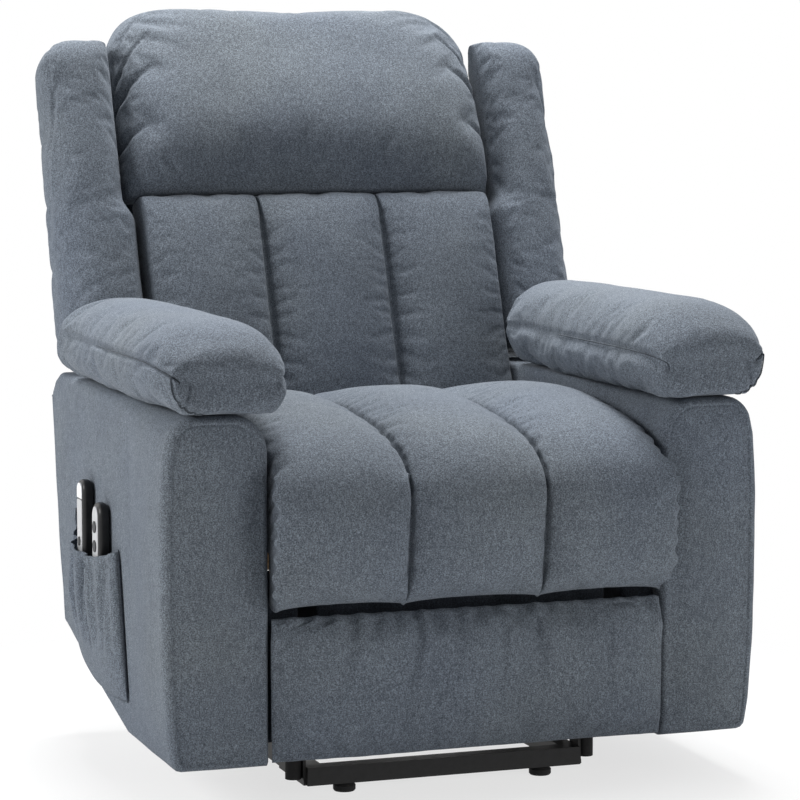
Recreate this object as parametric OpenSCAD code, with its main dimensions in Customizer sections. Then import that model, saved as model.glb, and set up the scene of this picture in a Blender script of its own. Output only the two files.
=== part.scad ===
// Lift recliner chair: a three-way powered chair that reclines, raises a footrest and
// tilts forward on a lift base.  Millimetres, +Z up, the sitter faces -Y, floor at z = 0.

/* [Seat] */
// Clear width between the two arms
seat_w = 560; // [520:5:620]
// Height of the wooden seat frame's underside above the floor
deck_z = 324; // [320:1:330]
// Thickness of the wooden seat frame
deck_t = 22; // [15:1:28]
// Height of the seat cushion's seams above the floor
seat_z = 512; // [490:1:530]
// Rise of each padded channel above its seams
crown = 26; // [10:1:34]
// Width of the middle channel of seat and back
channel_w = 192; // [160:2:220]

/* [Arms] */
// Thickness of one arm panel
arm_w = 130; // [100:5:150]
// Height of the arms' underside above the floor
arm_clear = 64; // [55:1:75]
// Height of the arm panel under its pad
arm_h = 532; // [520:1:545]
// Position of the arms' front face
arm_front = -408; // [-430:1:-400]
// Swelling of the arm's padded outer face
arm_swell = 17; // [0:1:20]
// Thickness of the pad on the arm
pad_h = 134; // [110:2:170]
// Overhang of the arm pad towards the sitter
pad_in = 35; // [15:1:40]
// Overhang of the arm pad on the outside
pad_out = 30; // [15:1:40]

/* [Back] */
// Rearward tilt of the back at rest, in degrees
back_tilt = 22; // [18:0.5:26]
// Height of the headrest's top above the back hinge, along the back
back_h = 794; // [760:2:800]
// Height where the headrest pillow starts, along the back
head_v = 467; // [440:1:490]
// Thickness of the back's wooden frame
back_frame_t = 52; // [40:2:60]

/* [Lift base] */
// Overall width of the floor frame
base_w = 400; // [380:2:420]
// Front edge of the floor frame
base_front = -317; // [-330:1:-305]
// Rear edge of the floor frame
base_rear = 300; // [280:1:330]
// Outside size of the floor frame's square tubes
tube = 25; // [20:1:30]
// Height of the feet
foot_h = 12; // [8:1:20]
// Diameter of the feet
foot_dia = 31; // [20:1:40]

/* [Mechanism] */
// Thickness of the flat steel links
link_t = 5; // [4:0.5:5.5]
// Width of the flat steel links
link_w = 21; // [18:1:24]
// Thickness of the steel side plates
plate_t = 4; // [3:0.5:5]
// Radius of the main pivot pins
pin_r = 8; // [6:0.5:9]
// Radius of the footrest's pivot pins
rivet_r = 5; // [4:0.5:6]
// Running clearance of a pin in its hole, on the radius
run_c = 0.05; // [0.03:0.01:0.08]
// Clearance of an open pivot, on the radius
open_c = 2.2; // [2:0.1:3]
// Radius of the actuators' rods
rod_r = 7.5; // [6:0.5:8]
// Bore radius of the actuators' outer tubes
bore_r = 14; // [13.5:0.5:16]

/* [Footrest] */
// Width of the footrest panel
foot_w = 558; // [500:2:560]
// Top of the footrest panel above the floor
foot_top = 261; // [250:1:262]
// Bottom of the footrest panel above the floor
foot_bottom = 75; // [70:1:90]
// Thickness of the footrest's padding
foot_pad = 30; // [20:1:34]

/* [Handsets] */
// Width of the two hand controls
handset_w = 44; // [38:1:52]
// Length of the two hand controls
handset_l = 168; // [140:2:190]
// Thickness of the two hand controls
handset_t = 18; // [14:1:20]
// Radius of the lift control's two buttons
button_r = 8.5; // [6:0.5:10]

/* [Hidden] */
$fn = 48;

steel = "dimgray";
fabric = "slategray";
wood = "burlywood";
gap = 1;
seam_gap = 0.3;

// Layers of the mechanism, counted outwards from the floor frame's side
ear_x = base_w / 2;
inner_link_x = ear_x - gap - link_t;
upper_link_x = ear_x + plate_t + gap;
chassis_x = upper_link_x + link_t + gap;
crank_x = chassis_x + plate_t + gap;
foot_link_x = crank_x + link_t + gap;
bracket_x = foot_link_x + link_t + gap;

// Pivots of the lift linkage, as [y, z]
lift_a = [-290, 75];
lift_b = [60, 80];
lift_c = [200, 187];
lift_d = [-264, 123];
cross_r = 55;
lever_r = 90;
clevis_half = 22;
lever_w = 30;
lever_a = 65;
lift_cross = lift_a + cross_r * [cos(1), sin(1)];
lift_lever = lift_a + lever_r * [cos(lever_a), sin(lever_a)];
lift_mount = [270, 95];
lift_aim = lift_lever + [0, 4.5];
lift_angle = atan2(lift_aim[1] - lift_mount[1], lift_aim[0] - lift_mount[0]);

// Pivots of the back and its actuator
hinge = [165, 330];
lever_h = 110;
rear_tube = [88, 296];
recline_lever = hinge + [5, -lever_h];
recline_mount = [-190, 222];
recline_x = 60;
front_tube = recline_mount + [8, 26];
lever_tube = hinge + [18, -34];
recline_aim = recline_lever + [0, -3.4];
recline_angle = atan2(recline_aim[1] - recline_mount[1], recline_aim[0] - recline_mount[0]);

// Pivots of the footrest's two parallelograms
foot_g1 = [-253, 259];
foot_g2 = foot_g1 + [-44, 20];
foot_a = foot_g1 + [40, -185];
foot_b = foot_a + foot_g2 - foot_g1;
foot_c = [-355, 196];
foot_tilt = [-8, 43];
foot_a2 = foot_a + foot_tilt;
foot_d = foot_c + foot_tilt;
drive_tube_r = 9;
cross_tube_r = 11;
eye_rim = 1.5;
side_w = 34;

// Seat and back outlines
deck_top = deck_z + deck_t;
deck_front = -388;
deck_rear = 98;
rail_w = 50;
seat_half = seat_w / 2 - 3;
seat_rear = 106;
seat_spread = 39;
arm_in = seat_w / 2;
arm_out = arm_in + arm_w;
board_y = -399;
board_t = 16;
foot_spread = 13;
cushion_u = -92;
frame_u = -30;
frame_rear_u = frame_u + back_frame_t;
frame_top_v = 690;
wing_v = 225;
wing_out = 132;
rail_half = arm_in + 2;
wing_in = rail_half + seam_gap;

// ---------------------------------------------------------------- helpers

module both() {
    children();
    mirror([1, 0, 0]) children();
}

// Draws a [y, z] outline and gives it thickness t from x
module plate(x, t) {
    translate([x, 0, 0]) rotate([90, 0, 90]) linear_extrude(t) children();
}

// Flat bar of width w from p to q, without its ends
module strip2d(p, q, w) {
    d = q - p;
    translate(p) rotate(atan2(d[1], d[0])) translate([0, -w / 2]) square([norm(d), w]);
}

// Flat plate made of bars: an eye of width w at each point, bars along the listed pairs
module web2d(points, pairs, w) {
    for (p = points)
        translate(p) circle(d = w);
    for (e = pairs)
        strip2d(points[e[0]], points[e[1]], w - 2 * eye_rim);
}

// Straight bar with an eye at each end
module bar2d(p, q, w) {
    web2d([p, q], [[0, 1]], w);
}

module hole2d(p, r) {
    translate(p) circle(r);
}

// Round bar along X at pivot p
module pin(x, length, p, r) {
    translate([x, p[0], p[1]]) rotate([0, 90, 0]) cylinder(r = r, h = length);
}

// Round cross tube between the two sides, out to x
module tube_across(x, p) {
    pin(-x, 2 * x, p, cross_tube_r);
}

// Box from its lowest corner to its highest corner
module block(a, b) {
    translate(a) cube(b - a);
}

// Smooth curve through control points, n steps for each span
function spline(p0, p1, p2, p3, t) = 0.5 * (2 * p1 + (p2 - p0) * t
    + (2 * p0 - 5 * p1 + 4 * p2 - p3) * t * t + (3 * p1 - p0 - 3 * p2 + p3) * t * t * t);
function smooth(p, n) = let (last = len(p) - 1) [for (i = [0 : last - 1]) for (k = [0 : n - 1])
    spline(p[max(i - 1, 0)], p[i], p[i + 1], p[min(i + 2, last)], k / n), p[last]];

// Unit normal of a path at point i, to the left of its direction
function side(p, i) = let (d = p[min(i + 1, len(p) - 1)] - p[max(i - 1, 0)])
    [-d[1], d[0]] / norm(d);

// Height of a padded channel at x: 0 on the seams, 1 in the middle
function puff(t) = pow(max(4 * t * (1 - t), 0), 0.55);
function channel(x, edge) = let (s = channel_w / 2, a = abs(x))
    a < s ? puff((x + s) / (2 * s)) : puff((a - s) / (edge - s));
function stations(edge, n) = let (s = channel_w / 2) concat(
    [for (i = [0 : n - 1]) -edge + (edge - s) * i / n],
    [for (i = [0 : n - 1]) -s + 2 * s * i / n],
    [for (i = [0 : n]) s + (edge - s) * i / n]);

// Rounded box outline as n points, for pillow sections
function oval(n, w, h, e) = [for (i = [0 : n - 1]) let (a = 360 * (i + 0.5) / n)
    [w * sign(cos(a)) * pow(abs(cos(a)), 2 / e), h * sign(sin(a)) * pow(abs(sin(a)), 2 / e)]];

// Solid through a row of rings that all have the same even number of points
function signed(p, f) = [for (t = f) cross(p[t[0]], p[t[1]]) * p[t[2]]];
function total(v, i = 0) = i == len(v) ? 0 : v[i] + total(v, i + 1);
module loft(rings) {
    n = len(rings[0]);
    last = (len(rings) - 1) * n;
    points = [for (r = rings) each r];
    sides = [for (k = [0 : len(rings) - 2]) for (j = [0 : n - 1]) let (a = k * n + j,
        b = k * n + (j + 1) % n) each [[a, a + n, b + n], [a, b + n, b]]];
    caps = [for (i = [0 : n / 2 - 2]) each [[i, i + 1, n - 2 - i], [i, n - 2 - i, n - 1 - i],
        [last + i + 1, last + i, last + n - 2 - i],
        [last + i, last + n - 1 - i, last + n - 2 - i]]];
    faces = [for (f = concat(sides, caps)) if (f[0] != f[1] && f[1] != f[2] && f[0] != f[2]) f];
    outward = total(signed(points, faces)) < 0;
    polyhedron(points, outward ? faces : [for (f = faces) [f[0], f[2], f[1]]]);
}

// Places a piece drawn in the back's own frame: x, depth u, height v
module on_back() {
    translate([0, hinge[0], hinge[1]]) rotate([-back_tilt, 0, 0]) children();
}

// ---------------------------------------------------------------- lift base

module base_frame() {
    z = foot_h;
    ear_w = 34;
    color("black") {
        difference() {
            block([-ear_x, base_front, z], [ear_x, base_rear, z + tube]);
            block([-ear_x + tube, base_front + tube, z - 1],
                [ear_x - tube, base_rear - tube, z + tube + 1]);
        }
        both() plate(ear_x, plate_t) difference() {
            web2d([lift_a, lift_d, [lift_a[0] - 4, z], [lift_d[0] + 50, z]],
                [[0, 1], [0, 2], [1, 3], [2, 3]], ear_w);
            hole2d(lift_a, pin_r);
            hole2d(lift_d, pin_r);
            translate([base_front - 40, z - 60]) square([300, 60]);
        }
        for (s = [-1, 1]) plate(s * clevis_half - plate_t / 2, plate_t) difference() {
            web2d([lift_mount, [lift_mount[0] + 12, z + tube]], [[0, 1]], ear_w);
            hole2d(lift_mount, pin_r);
            translate([lift_mount[0] - 60, z + tube - 60]) square([200, 60]);
        }
    }
}

module levelling_feet() {
    color("black") for (x = [-144, 144], y = [base_front + tube / 2, base_rear - tube / 2])
        translate([x, y, 0]) rotate_extrude()
            polygon([[0, 0], [foot_dia / 2 - 1.5, 0], [foot_dia / 2, 2], [foot_dia / 2, foot_h - 4],
                [foot_dia / 2 - 3, foot_h - 1], [10, foot_h], [0, foot_h]]);
}

module base_pins() {
    color("silver") both() {
        pin(inner_link_x - 2, ear_x + plate_t - inner_link_x + 2, lift_a, pin_r);
        pin(inner_link_x - 4, 2, lift_a, pin_r + 3);
        pin(ear_x, upper_link_x + link_t - ear_x, lift_d, pin_r);
        pin(upper_link_x + link_t, 0.9, lift_d, pin_r + 3);
    }
}

module lift_motor_pin() {
    color("silver") pin(-clevis_half - plate_t / 2 - 3, 2 * clevis_half + plate_t + 6, lift_mount,
        pin_r);
}

module power_supply() {
    z = foot_h + tube;
    color("black") difference() {
        hull() {
            block([-150, base_rear - tube - 62, z], [-50, base_rear - tube + 22, z + 30]);
            block([-146, base_rear - tube - 58, z + 30], [-54, base_rear - tube + 18, z + 38]);
        }
        block([-116, base_rear - tube + 8, z + 8], [-84, base_rear, z + 28]);
    }
}

module power_inlet() {
    z = foot_h + tube;
    y = base_rear - tube;
    color("dimgray") difference() {
        block([-116, y + 8, z + 8], [-84, y + 24, z + 28]);
        block([-112, y + 12, z + 11], [-88, y + 30, z + 25]);
    }
}

module lift_arms() {
    color(steel) {
        both() plate(inner_link_x, link_t) difference() {
            bar2d(lift_a, lift_b, 24);
            hole2d(lift_a, pin_r + run_c);
            hole2d(lift_b, pin_r);
        }
        tube_across(inner_link_x + link_t / 2, lift_cross);
        for (s = [-1, 1]) plate(s * 14 - plate_t / 2, plate_t) difference() {
            bar2d(lift_cross, lift_lever, lever_w);
            hole2d(lift_lever, 6);
        }
    }
}

module lift_arm_pins() {
    color("silver") both() {
        pin(inner_link_x, chassis_x + plate_t + 1 - inner_link_x, lift_b, pin_r);
        pin(inner_link_x - 3, 3, lift_b, pin_r + 3);
    }
}

module lift_rod_pin() {
    color("silver") pin(-19, 38, lift_lever, 6);
}

module upper_links() {
    color(steel) both() plate(upper_link_x, link_t) difference() {
        union() {
            bar2d(lift_d, lift_c, 24);
            hole2d(lift_c, 15);
        }
        hole2d(lift_d, pin_r + run_c);
        hole2d(lift_c, pin_r + open_c);
    }
}

// Draws an actuator piece along the line from p at angle a, in the plane x
module along(x, p, a) {
    translate([x, p[0], p[1]]) rotate([a, 0, 0]) rotate([-90, 0, 0]) children();
}

module actuator_body(x, p, a, length) {
    along(x, p, a) {
        difference() {
            union() {
                translate([0, 0, 34]) cylinder(r = bore_r + 4, h = length - 34);
                translate([0, 0, 34]) cylinder(r = 26, h = 60);
                cylinder(r = 12, h = 40);
            }
            translate([0, 0, 100]) cylinder(r = bore_r, h = length);
            rotate([0, 90, 0]) cylinder(r = pin_r + run_c, h = 60, center = true);
            for (s = [-1, 1]) translate([s * (18 + 30), 0, 0]) cube([60, 60, 60], center = true);
        }
        translate([0, 36, 64]) rotate([0, 90, 0]) cylinder(r = 21, h = 76, center = true);
    }
}

module actuator_rod(x, p, a, length, eye, t) {
    along(x, p, a) difference() {
        union() {
            translate([0, 0, 10]) cylinder(r = rod_r, h = length - 10);
            rotate([0, 90, 0]) cylinder(r = 12, h = t, center = true);
        }
        rotate([0, 90, 0]) cylinder(r = eye, h = 60, center = true);
    }
}

module lift_motor() {
    color("black") actuator_body(0, lift_mount, lift_angle, 320);
}

module lift_rod() {
    color("silver") actuator_rod(0, lift_lever, lift_angle + 180, 340, 6 + run_c, 22);
}

// ---------------------------------------------------------------- seat chassis

module chassis_frame() {
    top = deck_z - side_w / 2 - 0.5;
    color(steel) {
        both() plate(chassis_x, plate_t) difference() {
            web2d([[deck_front + 40, top], [hinge[0] - 30, top], foot_g1, foot_g2,
                [foot_g1[0] + 20, top], front_tube, hinge, lift_c, lift_b, [hinge[0] - 70, top]],
                [[0, 1], [2, 3], [2, 4], [5, 4], [1, 6], [1, 7], [7, 8], [8, 9]], side_w);
            hole2d(foot_g1, drive_tube_r + run_c);
            hole2d(foot_g2, rivet_r);
            hole2d(lift_b, pin_r + run_c);
            hole2d(lift_c, pin_r);
            hole2d(hinge, pin_r);
        }
        both() block([chassis_x + plate_t / 2, deck_front + 30, deck_z - plate_t],
            [chassis_x + 34, deck_rear - 4, deck_z]);
        tube_across(chassis_x + plate_t / 2, front_tube);
        tube_across(chassis_x + plate_t / 2, rear_tube);
        for (s = [-1, 1]) plate(recline_x + s * clevis_half - plate_t / 2, plate_t) difference() {
            bar2d(recline_mount, front_tube, 26);
            hole2d(recline_mount, pin_r);
        }
    }
}

module chassis_pins() {
    color("silver") both() {
        pin(chassis_x, crank_x + link_t - chassis_x, foot_g2, rivet_r);
        pin(chassis_x - 3, 3, foot_g2, rivet_r + 3);
        pin(upper_link_x, chassis_x + plate_t - upper_link_x, lift_c, pin_r);
        pin(chassis_x + plate_t, 2, lift_c, pin_r + 3);
        pin(upper_link_x, chassis_x + plate_t - upper_link_x, hinge, pin_r);
        pin(chassis_x + plate_t, 2, hinge, pin_r + 3);
    }
}

module recline_motor_pin() {
    color("silver") pin(recline_x - clevis_half - plate_t / 2 - 3, 2 * clevis_half + plate_t + 6,
        recline_mount, pin_r);
}

module rubber_bumpers() {
    color("black") both() translate([ear_x + plate_t + 11, lift_a[0] - 8, 20])
        cylinder(r = 11, h = 29);
}

module seat_frame() {
    rail = arm_in - bracket_x - 2;
    color(wood) difference() {
        block([-arm_in, deck_front, deck_z], [arm_in, deck_rear, deck_top]);
        block([-arm_in + rail, deck_front + rail_w, deck_z - 1],
            [arm_in - rail, deck_rear - rail_w, deck_top + 1]);
    }
}

module seat_springs() {
    y0 = deck_front + rail_w;
    steps = 12;
    step = (deck_rear - rail_w - y0) / steps;
    wire = 4;
    color("darkgray") for (i = [-2 : 2]) translate([i * 76, 0, deck_top - 10])
        for (k = [0 : steps - 1]) translate([0, y0 + k * step, 0]) {
            block([-20, 0, 0], [20, wire, wire]);
            translate([k % 2 == 0 ? 20 - wire : -20, 0, 0]) cube([wire, step, wire]);
        }
}

// Side view of the seat cushion's seams, from the rear of the top round to the lip
seat_path = [[seat_rear, seat_z - 20], [-125, seat_z - 6],
    [-277, seat_z - 16], [-380, seat_z - 38],
    [-428, seat_z - 68], [-443, seat_z - 96], [-442, 370], [-437, 325], [-427, 287],
    [-408, 272]];

// The front bulges sideways where it stands proud of the arms
function spread(x, y) = x + seat_spread * sign(x) * min(max((arm_front - 6 - y) / 26, 0), 1)
    * lookup((abs(x) - channel_w / 2) / (seat_half - channel_w / 2),
        [[0, 0], [0.5, 0.2], [0.83, 1], [1, 0]]);
seat_under = [[seat_rear, deck_top + seam_gap], [deck_front - seam_gap, deck_top + seam_gap],
    [deck_front - seam_gap, 275]];

module seat_cushion() {
    path = smooth(seat_path, 2);
    m = len(path);
    k = floor(m * 0.5);
    below = concat([for (i = [0 : k]) seat_under[0] + (seat_under[1] - seat_under[0]) * i / k],
        [for (i = [1 : m - 1 - k]) seat_under[1] + (seat_under[2] - seat_under[1]) * i
            / (m - 1 - k)]);
    color(fabric) loft([for (x = stations(seat_half, 6)) concat(
        [for (i = [0 : m - 1]) let (lift = crown * channel(x, seat_half) * sin(180 * i / (m - 1)),
            q = path[i] - side(path, i) * (i == 0 || i == m - 1 ? 0 : lift))
            [spread(x, q[0]), q[0], q[1]]],
        [for (i = [m - 1 : -1 : 0]) [x, below[i][0], below[i][1]]])]);
}

// ---------------------------------------------------------------- arms

arm_low = [[arm_front, arm_clear], [-155, arm_clear], [-12, arm_clear + 32],
    [107, arm_clear + 65], [221, arm_clear + 91], [252, 308], [278, 455], [284, 490]];
arm_high = [[arm_front, arm_h], [236, arm_h], [262, arm_h - 10], [278, arm_h - 26],
    [284, arm_h - 38]];
arm_rows = [arm_front, arm_front + 4, arm_front + 14, -340, -250, -182, -155, -84, -12, 48, 107,
    164, 221, 240, 262, 278, 284];

// Share of the outer face's swelling at height t, from the floor to the arm's top
function swell_at(t) = lookup(t, [[0.12, 0.1], [0.2, 0.5], [0.35, 0.85], [0.55, 1], [0.75, 1],
    [0.9, 0.75], [1, 0]]);

// 1 from where the handsets are drawn up along the arm to the rear, 0 well in front of that
function near_pocket(y) = lookup(y, [[-340, 0], [-182, 1]]);

module arm_panel(flat) {
    rows = 9;
    color(fabric) loft([for (y = arm_rows) let (
        inset = y == arm_front ? 10 : y == arm_front + 4 ? 3 : 0,
        z0 = lookup(y, arm_low) + inset,
        z1 = lookup(y, arm_high) - inset)
        concat(
            [for (i = [0 : rows]) let (t = i / rows, z = z0 + (z1 - z0) * t,
                edge = i == 0 || i == rows ? 9 : 0,
                swell = arm_swell * (1 - flat * near_pocket(y)) * swell_at(z / arm_h))
                [arm_out + swell - edge - inset, y, z]],
            [for (i = [rows : -1 : 0]) [arm_in + inset, y, z0 + (z1 - z0) * i / rows]])]);
}

module left_arm() {
    arm_panel(0);
}

module right_arm() {
    mirror([1, 0, 0]) arm_panel(1);
}

pad_rows = [-440, -437, -430, -418, -400, -375, -335, -280, -200, -120, -40, 30, 80, 110, 128, 139,
    146];

// Stuffed pad on the arm: full in the middle, with a nose that drops towards its front end
module arm_pad() {
    front = pad_rows[0];
    rear = pad_rows[len(pad_rows) - 1];
    n = 24;
    color(fabric) loft([for (y = pad_rows) let (
        f = min((y - front) / 130, 1),
        r = min((rear - y) / 50, 1),
        round = pow(max(1 - pow(1 - f, 2.2), 0), 1 / 2.2) * pow(max(1 - pow(1 - r, 3), 0), 1 / 3),
        grow = max(round, 0.12),
        back = max(0, min((y - 96) / 44, 1)),
        inner = arm_in - pad_in + (pad_in + 3) * back,
        outer = arm_out + pad_out,
        half = (outer - inner) / 2,
        low = arm_h + seam_gap,
        mid = low + pad_h * (0.46 - 0.1 * (1 - grow)),
        tall = pad_h * 0.54)
        [for (p = oval(n, half, tall, 2.4)) [(inner + outer) / 2 + p[0] * (0.45 + 0.55 * grow),
            y, max(low, mid + p[1] * grow)]]]);
}

module left_arm_pad() {
    arm_pad();
}

module right_arm_pad() {
    mirror([1, 0, 0]) arm_pad();
}

// Pocket on the outside of the right arm: a fabric sheet sewn on along its sides and bottom
pocket_x = arm_out + seam_gap;
pocket_gap = handset_t + 4;
pocket_t = 3;

module pocket_outline(grow) {
    offset(grow) offset(-20) offset(20) polygon([[-172, 112], [-19, 116], [104, 146], [136, 326],
        [80, 312], [22, 300], [-60, 306], [-124, 318]]);
}

module side_pocket() {
    color(fabric) mirror([1, 0, 0]) difference() {
        plate(pocket_x, pocket_gap + pocket_t) pocket_outline(0);
        plate(pocket_x - 1, pocket_gap + 1) intersection() {
            translate([0, 60]) pocket_outline(-5);
            union() {
                pocket_outline(-7);
                translate([-110, 250]) square([220, 120]);
            }
        }
    }
}

// ---------------------------------------------------------------- back

module back_brackets() {
    color(steel) {
        both() plate(upper_link_x, link_t) difference() {
            web2d([hinge, hinge + bracket_h * [sin(back_tilt), cos(back_tilt)], lever_tube],
                [[0, 1], [0, 2]], bracket_w);
            hole2d(hinge, pin_r + run_c);
            for (v = bolt_v)
                hole2d(hinge + v * [sin(back_tilt), cos(back_tilt)], bolt_r);
        }
        tube_across(upper_link_x + link_t / 2, lever_tube);
        for (s = [-1, 1]) plate(recline_x + s * 14 - plate_t / 2, plate_t) difference() {
            bar2d(lever_tube, recline_lever, lever_w);
            hole2d(recline_lever, 6);
        }
    }
}

bolt_v = [70, 170];
bolt_r = 4;
bracket_w = 39;
bracket_h = 200;

module back_bolt_holes(v, x, length) {
    both() translate([x, 0, v]) rotate([0, 90, 0]) cylinder(r = bolt_r, h = length);
}

module back_bolts() {
    color("silver") on_back() for (v = bolt_v) {
        back_bolt_holes(v, upper_link_x - 20, 20 + link_t);
        both() translate([upper_link_x + link_t, 0, v]) rotate([0, 90, 0])
            cylinder(r = bolt_r * 1.9, h = 4);
    }
}

module recline_rod_pin() {
    color("silver") pin(recline_x - 19, 38, recline_lever, 6);
}

module recline_motor() {
    color("black") actuator_body(recline_x, recline_mount, recline_angle, 250);
}

module recline_rod() {
    color("silver") actuator_rod(recline_x, recline_lever, recline_angle + 180, 185, 6 + run_c,
        22);
}

module back_frame() {
    x1 = upper_link_x;
    x0 = x1 - 22;
    color(wood) on_back() difference() {
        union() {
            both() block([x0, frame_u, 20], [x1, frame_rear_u, frame_top_v]);
            block([-x0 - 1, frame_u + 6, 60], [x0 + 1, frame_rear_u - 6, 120]);
            for (v = [290, 630])
                block([-rail_half, frame_u, v], [rail_half, frame_u + 22, v + 60]);
        }
        for (v = bolt_v) back_bolt_holes(v, x0 - 1, 24);
    }
}

back_path = [[-34, 74], [-70, 82], [cushion_u, 130], [cushion_u, 150], [cushion_u - 3, 260],
    [cushion_u - 6, 380], [cushion_u + 2, 450], [-60, head_v - 1]];

module back_cushion() {
    path = smooth(back_path, 2);
    m = len(path);
    u1 = frame_u - seam_gap;
    half = seat_w / 2 - 3;
    color(fabric) on_back() loft([for (x = stations(half, 6)) concat(
        [for (i = [0 : m - 1]) let (rise = crown * 0.8 * channel(x, half)
            * sin(180 * i / (m - 1)), q = path[i] + side(path, i) * rise) [x, q[0], q[1]]],
        [for (i = [m - 1 : -1 : 0]) [x, u1, 74 + (head_v - 75) * i / (m - 1)]])]);
}

head_path = [[-78, head_v + seam_gap], [-108, head_v + 30], [-116, head_v + 90],
    [-108, head_v + 160], [-92, head_v + 220], [-66, back_h - 40], [-30, back_h - 8],
    [0, back_h], [20, back_h - 30], [frame_rear_u, frame_top_v + 4]];

module headrest() {
    path = smooth(head_path, 2);
    m = len(path);
    k = floor(m * 0.6);
    u0 = frame_u - seam_gap;
    under = [[u0, head_v + seam_gap], [u0, frame_top_v + seam_gap],
        [frame_rear_u - 6, frame_top_v + seam_gap]];
    below = concat([for (i = [0 : k]) under[0] + (under[1] - under[0]) * i / k],
        [for (i = [1 : m - 1 - k]) under[1] + (under[2] - under[1]) * i / (m - 1 - k)]);
    half = arm_in + 14;
    n = 16;
    color(fabric) on_back() loft([for (j = [0 : n]) let (c = -cos(180 * j / n), x = half * c,
        s = max(pow(1 - pow(abs(c), 9), 0.4), 0.25)) concat(
        [for (i = [0 : m - 1]) let (q = below[i] + (path[i] - below[i]) * s) [x, q[0], q[1]]],
        [for (i = [m - 1 : -1 : 0]) [x, below[i][0], below[i][1]]])]);
}

wing_rows = [0, 3, 12, 30, 120, 207, 232, 330, 430, 455, 470, 484, 491, 495];
wing_round = 48;

// Shortening of a section dv inside a rounded end
function round_off(dv, r) = dv > r ? 0 : r - sqrt(max(r * r - (r - dv) * (r - dv), 0));

module wing() {
    n = 24;
    top = wing_v + wing_rows[len(wing_rows) - 1];
    color(fabric) on_back() loft([for (k = wing_rows) let (
        v = wing_v + k,
        cut = max(round_off(top - v, wing_round), round_off(k, 26)),
        inner = wing_in + 16 * min(max((v - head_v + 35) / 25, 0), 1),
        outer = arm_in + wing_out - cut,
        front = -108 + 0.8 * cut,
        rear = 54 - 58 * k / (top - wing_v) - 0.8 * cut)
        [for (p = oval(n, (outer - inner) / 2, (rear - front) / 2, 3.2))
            [(inner + outer) / 2 + p[0], (front + rear) / 2 + p[1], v]]]);
}

module left_wing() {
    wing();
}

module right_wing() {
    mirror([1, 0, 0]) wing();
}

module rear_cover() {
    color(fabric) on_back() hull() {
        block([-rail_half + 6, frame_rear_u + seam_gap, 40],
            [rail_half - 6, frame_rear_u + 12, frame_top_v]);
        block([-rail_half + 20, frame_rear_u + 12, 60],
            [rail_half - 20, frame_rear_u + 24, frame_top_v - 30]);
    }
}

// ---------------------------------------------------------------- footrest

module footrest_drive_cranks() {
    color(steel) {
        both() plate(crank_x, link_t) difference() {
            bar2d(foot_g1, foot_a, link_w);
            hole2d(foot_a, rivet_r);
            hole2d(foot_a2, rivet_r);
        }
        pin(-crank_x - link_t / 2, 2 * crank_x + link_t, foot_g1, drive_tube_r);
    }
}

module footrest_crank_pins() {
    color("silver") both() for (p = [foot_a, foot_a2])
        pin(crank_x, foot_link_x + link_t - crank_x, p, rivet_r);
}

module footrest_front_cranks() {
    color(steel) both() plate(crank_x, link_t) difference() {
        bar2d(foot_g2, foot_b, link_w);
        hole2d(foot_g2, rivet_r + run_c);
        hole2d(foot_b, rivet_r);
    }
}

module footrest_front_crank_pins() {
    color("silver") both() pin(crank_x, foot_link_x + link_t - crank_x, foot_b, rivet_r);
}

module footrest_links() {
    color(steel) both() plate(foot_link_x, link_t) difference() {
        web2d([foot_a, foot_b, foot_c], [[0, 1], [1, 2]], link_w);
        hole2d(foot_a, rivet_r + run_c);
        hole2d(foot_b, rivet_r + 1);
        hole2d(foot_c, rivet_r);
    }
}

module footrest_link_pins() {
    color("silver") both() pin(foot_link_x, bracket_x + link_t - foot_link_x, foot_c, rivet_r);
}

module footrest_tilt_links() {
    color(steel) both() plate(foot_link_x, link_t) difference() {
        bar2d(foot_a2, foot_d, link_w - 2);
        hole2d(foot_a2, rivet_r + run_c);
        hole2d(foot_d, rivet_r);
    }
}

module footrest_tilt_pins() {
    color("silver") both() pin(foot_link_x, bracket_x + link_t - foot_link_x, foot_d, rivet_r);
}

module footrest_brackets() {
    color(steel) both() {
        plate(bracket_x, link_t) difference() {
            union() {
                bar2d(foot_c, foot_d, link_w);
                translate([board_y + board_t, foot_c[1] - 30])
                    square([foot_c[0] - board_y - board_t, foot_d[1] - foot_c[1] + 40]);
            }
            hole2d(foot_c, rivet_r + run_c);
            hole2d(foot_d, rivet_r + 1);
        }
        block([bracket_x + 1, board_y + board_t, foot_c[1] - 30],
            [bracket_x + 28, board_y + board_t + plate_t, foot_d[1] + 10]);
    }
}

module footrest_board() {
    color(wood) block([-foot_w / 2 + 25, board_y, foot_bottom + 15],
        [foot_w / 2 - 25, board_y + board_t, foot_top - 10]);
}

module footrest_cushion() {
    half = foot_w / 2;
    mid = (foot_top + foot_bottom) / 2;
    tall = (foot_top - foot_bottom) / 2;
    y1 = board_y - seam_gap;
    color(fabric) loft([for (j = [0 : 14]) let (c = -cos(180 * j / 14),
        s = max(pow(1 - pow(abs(c), 6), 0.4), 0.35)) concat(
        [for (i = [0 : 12]) let (a = -cos(180 * i / 12),
            d = pow(1 - pow(abs(a), 5), 0.5), y = y1 - 6 - (foot_pad - 6) * d * s,
            wide = foot_spread * pow(abs(c), 4) * min(max((arm_front - 2 - y) / 4, 0), 1))
            [half * c + wide * sign(c), y, mid + tall * a]],
        [for (i = [12 : -1 : 0]) [(half - 3 * pow(abs(c), 4)) * c, y1,
            mid - tall * cos(180 * i / 12)]])]);
}

// ---------------------------------------------------------------- handsets

handset_x = arm_out + 2 * seam_gap;
lift_set = [-80, 376];
massage_set = [14, 397];
cap_h = 26;
button_step = 27;
button_top = 34;
button_rise = 2;
button_seat = 3;

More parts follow.
